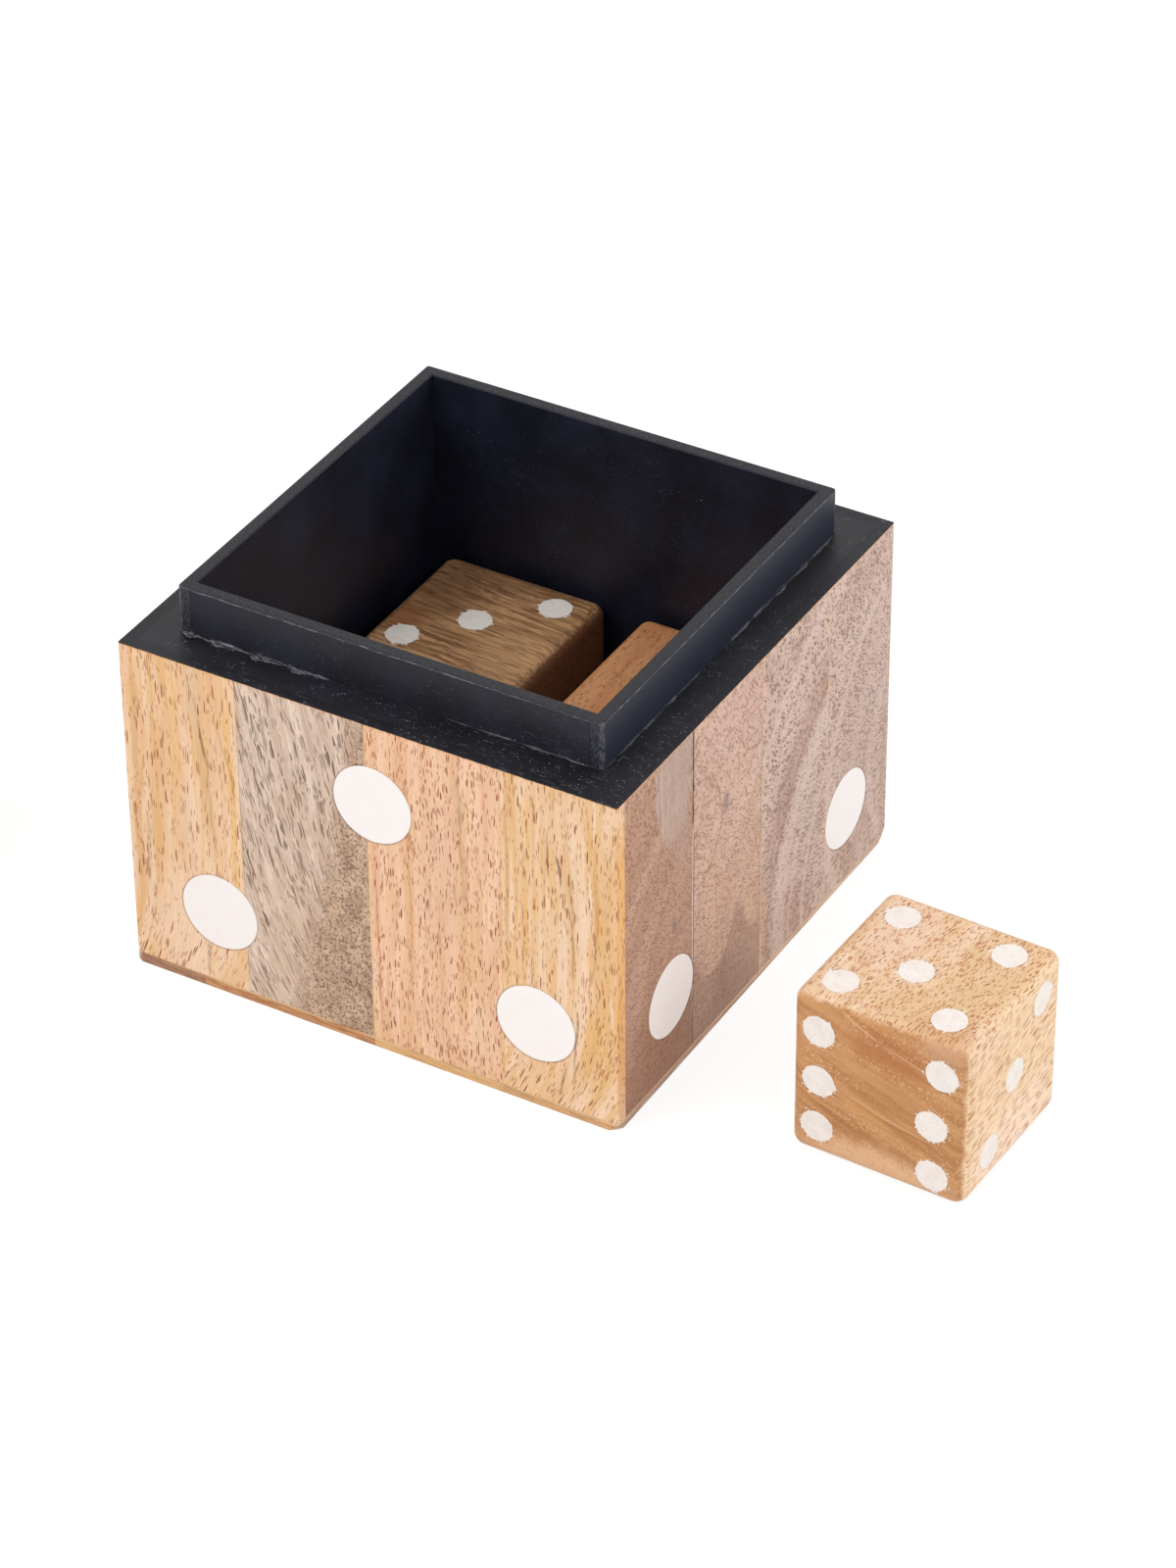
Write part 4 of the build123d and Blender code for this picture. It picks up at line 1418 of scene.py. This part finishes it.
BOX_WALLS = (
    BoxWall(Side.FRONT, (
        Slat(MANGO_YELLOW, 2.0, curl=(30.0, 0.007), marks=(
            Streak((-57.5, 84.0), (-57.0, 14.0), 1.5, "d5a574", 0.6, 1.2, 0.2),
            Streak((-52.5, 84.0), (-54.5, 4.0), 1.1, "dbad75", 0.6, 1.0, 0.3),
            Streak((-46.5, 84.0), (-47.0, 40.0), 1.8, BAND_GOLD, 0.6, 1.0, 0.2),
            Streak((-42.0, 84.0), (-38.2, 30.0), 2.0, "d5a86f", 0.6, 0.8, 0.2),
            Streak((-34.0, 84.0), (-32.6, 2.0), 1.5, BAND_GOLD, 0.75, 0.8, 0.2),
            Streak((-41.8, 80.0), (-39.2, 58.0), 0.55, "856648", 0.85, 0.6, 0.7),
            Streak((-39.6, 66.0), (-37.8, 34.0), 0.5, "aa8556", 0.6, 0.5, 0.5),
            Streak((-55.0, 44.0), (-55.4, 22.0), 0.8, "ae946f", 0.55, 0.6, 0.4),
            Streak((-40.8, 13.0), (-41.5, 3.0), 0.8, "8a7660", 0.75, 0.5, 0.3),
            Streak((-37.0, 74.0), (-31.6, 52.0), 0.45, "c99456", 0.7, 0.8, 0.2),
            Patch((-42.0, 78.0), (3.5, 12.0), "ddbc9c", 0.6), Patch((-44.0, 44.0), (5.0, 16.0), "e9c7aa", 0.6),
            Patch((-36.5, 65.0), (2.0, 7.0), "e6bd9c", 0.6), Patch((-48.0, 14.0), (11.0, 22.0), "f0d0b2", 0.7))),
        Slat(MANGO_GREY, 5.0, -0.20, (46.0, -0.0032), marks=(
            Patch((-26.0, 70.0), (6.0, 16.0), "d9c2b2", 0.55), Patch((-22.0, 20.0), (7.0, 22.0), "c9ab90", 0.5),
            Patch((-12.0, 76.0), (4.0, 9.0), "c3a694", 0.5),
            Streak((-25.5, 80.0), (-24.0, 66.0), 0.7, "9d7f66", 0.6, 0.6, 0.4),
            Streak((-12.6, 66.0), (-11.0, 52.0), 0.8, "967a62", 0.5, 0.6, 0.4)),
            dotted=Dotted(-9.0, 50.0, 0.22, "c6a68b", "a3846a", "5c3e2e")),
        Slat(MANGO_PINK, 9.0, marks=(
            Patch((18.0, 50.0), (9.0, 30.0), "deb393", 0.5), Patch((27.0, 14.0), (4.0, 14.0), "e8c6a6", 0.6),
            Streak((22.0, 84.0), (23.8, 40.0), 1.3, "c09872", 0.6, 1.0, 0.5),
            Streak((22.6, 74.0), (23.6, 46.0), 0.45, "87654c", 0.7, 0.7, 0.8),
            Streak((1.8, 54.0), (2.4, 4.0), 0.35, "b26f46", 0.7, 0.5, 0.4),
            Streak((10.2, 84.0), (10.4, 4.0), 0.35, "c2875a", 0.6, 0.6, 0.6),
            Streak((17.0, 50.0), (17.6, 4.0), 0.4, "c78f61", 0.5, 0.7, 0.5),
            Streak((24.5, 84.0), (23.0, 2.0), 1.4, "d8a672", 0.5, 1.2, 0.2))),
        Slat(MANGO_PALE, 16.0, curl=(34.0, 0.0075), marks=(
            Streak((34.2, 84.0), (33.6, 30.0), 0.8, "d09957", 0.65, 0.5, 0.2),
            Streak((38.5, 84.0), (38.6, 32.0), 0.9, BAND_GOLD, 0.7, 0.9, 0.2),
            Streak((52.0, 84.0), (57.0, 44.0), 1.6, "d7a460", 0.6, 1.0, 0.2),
            Streak((60.3, 86.0), (60.3, -2.0), 1.0, "e5aa62", 0.85, 0.1, 0.0),
            Streak((58.0, 84.0), (57.5, 8.0), 1.6, "deaf6f", 0.6, 1.2, 0.2),
            Streak((48.8, 66.0), (49.6, 34.0), 0.8, "b89e70", 0.4, 0.6, 0.3),
            Streak((43.4, 74.0), (43.8, 60.0), 0.35, "6b4c34", 0.85, 0.4, 0.5),
            Streak((45.6, 68.0), (46.8, 59.0), 0.40, "5b412c", 0.9, 0.4, 0.4),
            Streak((47.4, 80.0), (49.8, 50.0), 0.25, "86613e", 0.5, 0.5, 0.7),
            Streak((49.8, 58.0), (49.2, 34.0), 0.25, "785536", 0.5, 0.6, 0.7),
            Streak((55.5, 62.0), (53.0, 24.0), 0.40, "b1743b", 0.7, 1.0, 0.4),
            Streak((50.5, 30.0), (49.0, 6.0), 0.45, "7a5738", 0.7, 0.8, 0.5),
            Streak((47.6, 14.0), (46.0, 4.0), 0.45, "755132", 0.75, 0.5, 0.4),
            Patch((47.0, 75.0), (8.0, 11.0), "edcfb3", 0.35), Patch((43.5, 47.0), (4.0, 10.0), "e7c6a2", 0.5),
            Patch((55.0, 18.0), (5.5, 16.0), "dcaa66", 0.55))),
    ), ((-37.9, 21.4), (40.3, 21.6), (1.7, 64.0)), (
        Seam(-31.4, 0.22, GLUE_PALE, 0.7), Seam(-31.15, 0.12, "8a705c", 0.6), Seam(0.4, 0.26, "e6bf83", 0.8),
        Seam(32.5, 0.16, "d7a562", 0.6))),
    BoxWall(Side.RIGHT, (
        Slat(WALNUT_RED, 21.0, heart=(-4.0, 12.0), marks=(
            Patch((-42.0, 4.0), (26.0, 34.0), "9d6d4f", 0.8), Patch((-52.0, 72.0), (7.0, 14.0), "b48a70", 0.6),
            Patch((-36.4, 39.0), (1.6, 2.4), "84716e", 0.7), Patch((-44.0, 41.0), (1.2, 2.0), "8f7770", 0.5),
            Patch((-50.0, 30.0), (3.0, 12.0), "c1967a", 0.5), Arc((-4.0, 12.0), 71.0, 1.0, "a07a66", 0.5),
            Arc((-4.0, 12.0), 66.0, 1.4, "c8a490", 0.4)), veils=(
            Patch((-36.5, 78.0), (8.6, 20.0), "b7a096", 0.62, 0.22, 0.35),
            Patch((-33.0, 60.0), (5.0, 9.0), "b0978b", 0.45),
            Streak((-44.4, 84.0), (-43.0, 68.0), 0.5, "cfbbae", 0.5, 0.6, 0.6),
            Streak((-42.2, 84.0), (-41.0, 63.0), 0.55, "d2c1b6", 0.5, 0.7, 0.6),
            Streak((-39.6, 84.0), (-38.8, 62.0), 0.4, "cbb9af", 0.45, 0.6, 0.7),
            Streak((-37.4, 84.0), (-37.0, 68.0), 0.35, "a18a80", 0.6, 0.5, 0.6),
            Streak((-35.2, 84.0), (-35.0, 66.0), 0.5, "c7b5ac", 0.5, 0.6, 0.7),
            Streak((-32.4, 84.0), (-32.6, 64.0), 0.35, "9c857b", 0.5, 0.5, 0.6))),
        Slat(WALNUT_WARM, 26.0, heart=(40.0, 10.0), marks=(
            Patch((-12.0, 78.0), (18.0, 16.0), "d0aea1", 0.7), Patch((-21.0, 36.0), (3.4, 19.0), "dbbb9d", 0.8),
            Patch((-4.0, 24.0), (5.0, 9.0), "d6b597", 0.6), Patch((-14.5, 57.0), (2.0, 4.5), "86716f", 0.7),
            Patch((-13.2, 70.0), (0.9, 1.8), "7f6a68", 0.6),
            Flame(16.0, ((-9.0, 11.0, 7.0), (-28.5, 7.0, 6.0)), "87685a", 0.68, 2.1),
            Patch((-12.0, 3.0), (16.0, 17.0), "735345", 0.85, 0.25, 0.95),
            Flame(7.0, ((-15.0, 11.0, 4.0),), "7d6052", 0.45, 2.0),
            Flame(40.0, ((-3.0, 7.0, 8.0), (-22.0, 14.0, 5.0)), "c6a185", 0.35, 1.5),
            Arc((-1.5, 69.0), 6.0, 0.35, "a8836f", 0.6), Arc((-1.0, 22.0), 6.0, 0.35, "9c7a66", 0.6),
            Arc((-30.0, 56.0), 14.0, 0.6, "a37d6b", 0.5)), veils=(
            Streak((-26.4, 52.0), (-24.8, 24.0), 0.35, "a6846c", 0.5, 0.6, 0.3),
            Streak((-20.0, 54.0), (-17.6, 20.0), 0.30, "a98770", 0.45, 0.6, 0.3),
            Streak((-10.0, 41.0), (-2.6, 46.5), 0.5, "9b775f", 0.5, 0.5, 0.1),
            Streak((-26.0, 72.0), (-16.0, 60.0), 0.7, "9f7a68", 0.5, 0.8, 0.2),
            Streak((-2.6, 46.0), (1.2, 30.0), 0.5, "a8846c", 0.5, 0.5, 0.1))),
        Slat(WALNUT, 33.0, heart=(75.0, 5.0), marks=(
            Patch((3.0, 12.0), (1.5, 14.0), "d9b795", 0.9, 0.15, 0.4),
            Patch((14.0, 4.0), (16.0, 16.0), "b18b77", 0.6),
            Patch((22.0, 30.0), (5.0, 18.0), "cbb4a8", 0.5), Patch((12.0, 42.0), (9.0, 14.0), "b99a8e", 0.5),
            Patch((5.0, 78.0), (7.0, 8.0), "b7968a", 0.4)), veils=(
            Arc((75.0, 5.0), 89.0, 1.5, "d8bfb2", 0.5), Arc((75.0, 5.0), 73.0, 6.5, "a38070", 0.35),
            Arc((75.0, 5.0), 65.6, 3.8, "d4bfb2", 0.45),
            Arc((75.0, 5.0), 70.6, 0.9, "9c7869", 0.45), Arc((75.0, 5.0), 60.5, 1.0, "cfb8ab", 0.4),
            Arc((75.0, 5.0), 54.4, 1.2, "d5beb2", 0.45), Arc((75.0, 5.0), 53.0, 0.5, "a98775", 0.35))),
        Slat(WALNUT, 38.0, heart=(88.6, 23.2), marks=(
            Patch((46.0, 42.0), (18.0, 30.0), "b5968a", 0.3), Patch((42.0, 8.0), (9.0, 8.0), "b7977f", 0.6),
            Patch((45.0, 78.0), (12.0, 7.0), "b9998d", 0.4)), veils=(
            Arc((88.6, 23.2), 57.2, 1.7, "d6bfb2", 0.5), Arc((88.6, 23.2), 60.0, 0.7, "ab8a7b", 0.35),
            Arc((88.6, 23.2), 37.4, 1.8, "d4bdb0", 0.38), Arc((88.6, 23.2), 40.2, 0.7, "ab8a7b", 0.4),
            Arc((88.6, 23.2), 46.0, 2.6, "ccb5a9", 0.3))),
    ), ((-37.6, 21.2), (40.5, 20.2)), (
        Seam(-28.6, 0.42, "2c1d17", 1.0, (58.0, 99.0)), Seam(-28.35, 0.40, "6d4f3f", 0.8, (-9.0, 62.0)),
        Seam(-28.65, 0.17, "efedec", 0.9, (10.0, 60.0)), Seam(1.5, 0.26, "e0be90", 0.9),
        Seam(1.15, 0.12, "5f412f", 0.7, (10.0, 70.0)), Seam(31.0, 0.22, "dfbc8f", 0.85))),
    BoxWall(Side.BACK, (
        Slat(WALNUT, 42.0, heart=(130.0, 23.2)), Slat(MANGO_TAN, 44.0), Slat(MANGO_PINK, 46.0),
        Slat(MANGO_YELLOW, 48.0, curl=(40.0, -0.005)),
    ), ((-38.5, 21.5),), (
        Seam(32.0, 0.16, GLUE_PALE, 0.6), Seam(1.5, 0.16, GLUE_PALE, 0.6), Seam(-29.5, 0.16, GLUE_PALE, 0.5))),
    BoxWall(Side.LEFT, (
        Slat(MANGO_PALE, 71.0, curl=(36.0, -0.005)), Slat(MANGO_GREY, 73.0, 0.1), Slat(MANGO_TAN, 75.0),
        Slat(MANGO_PINK, 77.0),
    ), ((-38.5, 21.5), (0.0, 64.0)), (
        Seam(29.5, 0.16, GLUE_PALE, 0.6), Seam(-0.8, 0.16, GLUE_PALE, 0.6), Seam(-30.6, 0.16, GLUE_PALE, 0.5))),
)

BEADS = (
    FootBead("lip_bead_front_left", (-51.5, -LIP_Y), (-14.0, -LIP_Y), (0.0, -1.0), 1.5, 0.75, 4, 0.45),
    FootBead("lip_bead_front_right", (14.0, -LIP_Y), (50.0, -LIP_Y), (0.0, -1.0), 0.4, 0.3, 9),
    FootBead("lip_bead_right_near", (LIP_X, -49.0), (LIP_X, -8.0), (1.0, 0.0), 0.4, 0.3, 12),
    FootBead("lip_bead_right_far", (LIP_X, 2.0), (LIP_X, 49.0), (1.0, 0.0), 0.7, 0.5, 15),
    FootBead("lip_bead_back", (-44.0, LIP_Y), (40.0, LIP_Y), (0.0, 1.0), 0.6, 0.5, 18),
    FootBead("lip_bead_left", (-LIP_X, -40.0), (-LIP_X, 44.0), (-1.0, 0.0), 0.6, 0.5, 21),
)

DIE_TAN = Wood("e9cbae", "dfba92", "deb688", "ac632d", long=Pores((0.44, 3.2), 0.44, 1.0, 1.0),
               short=Pores((0.38, 2.4), 0.40, 1.0, 0.8), crowding=0.25, fibre=0.07, wave=0.06)
TAN_ENDS = Wood("cb9562", "b27a48", "e6bd92", "80522c")
DICE = (
    Die("die_striped", (-23.3, 25.1, 30.5), 0.0, BROWN, Grain.ALONG_X, 81.0, (3, 2, 1),
        {"top": [(-12.6, -12.7), (-1.4, -0.2), (11.7, 12.5)]}, (-0.08, -0.08), 1.0, (
            Patch((-12.0, 6.0), (12.0, 18.0), "805b3d", 0.7), Patch((12.0, -8.0), (12.0, 14.0), "c69b6e", 0.5),
            Patch((-15.0, -7.0), (6.0, 9.0), "935a33", 0.7), Patch((0.0, 17.0), (20.0, 5.0), "84603f", 0.6)),
        # Painted shade: the two faces across X are darkened all over, as if in shadow.
        flank_light_and_shade=(Patch((0.0, 0.0), (60.0, 60.0), "663a25", 0.8, 0.0),)),
    Die("die_orange", (27.0, 25.0, 30.5), 0.0, ORANGE, Grain.ALONG_Y, 84.0, (1, 3, 2), marks=(
        # Painted shadow: the far part of the top is darkened, as if in shade.
        Patch((0.0, 16.0), (26.0, 14.0), "b0703f", 0.5),)),
    Die("die_tan", (113.6, -25.5, 20.5), -2.0, DIE_TAN, Grain.ALONG_Y, 87.0, (5, 6, 3), {
        "top": [(-13.0, 12.3), (12.0, 12.5), (-1.7, -2.1), (-13.2, -13.0), (11.9, -12.7)],
        "front": [(-14.0, 12.0), (-13.8, -0.8), (-14.0, -12.8), (14.7, 12.3), (12.7, -1.6), (13.2, -14.4)],
        "right": [(11.7, 13.3), (0.5, 0.9), (-9.4, -12.5)],
    }, (0.12, 0.22), 6.0, (
        Patch((-11.0, 8.0), (10.0, 15.0), "e6c6ae", 0.6), Patch((12.0, 2.0), (13.0, 24.0), "dab687", 0.7),
        Patch((0.0, -13.0), (12.0, 9.0), "ddb78a", 0.6),
        Patch((13.0, -17.0), (10.0, 9.0), "c9935f", 0.6)), TAN_ENDS, (
        Patch((3.0, 13.0), (14.0, 8.0), "b06c3c", 0.65), Patch((4.0, 0.0), (18.0, 9.0), "b98250", 0.4),
        Patch((0.0, -18.0), (24.0, 7.5), "e2b48c", 0.85),
        Patch((-16.0, 10.0), (7.0, 9.0), "d09a68", 0.5), Patch((15.0, 18.0), (8.0, 4.0), "c99c7c", 0.6),
        Streak((-14.0, 4.0), (6.0, -3.5), 1.9, "a96d3c", 0.45, 0.6, 0.2),
        Streak((-10.0, -3.0), (5.0, -7.0), 1.6, "d29a5c", 0.5, 0.5, 0.2),
        Streak((-17.0, -6.5), (2.0, -11.0), 1.3, "a0652f", 0.6, 0.6, 0.3),
        Streak((2.0, -11.0), (11.0, -13.0), 1.1, "a0652f", 0.55, 0.5, 0.3),
        Streak((-9.5, -1.0), (20.0, -8.5), 0.35, "e0ae80", 0.6, 0.4, 0.2),
        Streak((-1.0, -4.6), (20.5, -8.0), 0.45, "9a6232", 0.6, 0.4, 0.2),
        Streak((-9.0, 19.3), (0.5, 14.6), 0.30, "e0b088", 0.8, 0.2, 0.1),
        Streak((-0.5, 14.9), (13.0, 11.2), 0.30, "dcab84", 0.7, 0.2, 0.1)), (
        # Painted light: the two faces across X are made paler all over, palest low down, as if lit from the side.
        Patch((0.0, 0.0), (60.0, 60.0), "f5d6ae", 0.55, 0.0), Patch((0.0, -16.0), (26.0, 14.0), "f8dcc6", 0.7),
        Patch((-13.0, 16.0), (10.0, 6.0), "eccbae", 0.5))),
)


def main() -> None:
    """Dresses the box, its lid and the dice, and sets the studio round them."""
    logging.basicConfig(level=logging.INFO, format="%(name)s: %(message)s")
    Studio().build()
    for wall in BOX_WALLS:
        wall.dress()
    BoxBase().dress()
    BlackBoards().dress()
    for bead in BEADS:
        bead.build()
    Lid().dress()
    for die in DICE:
        die.dress()


if __name__ == "__main__":
    main()
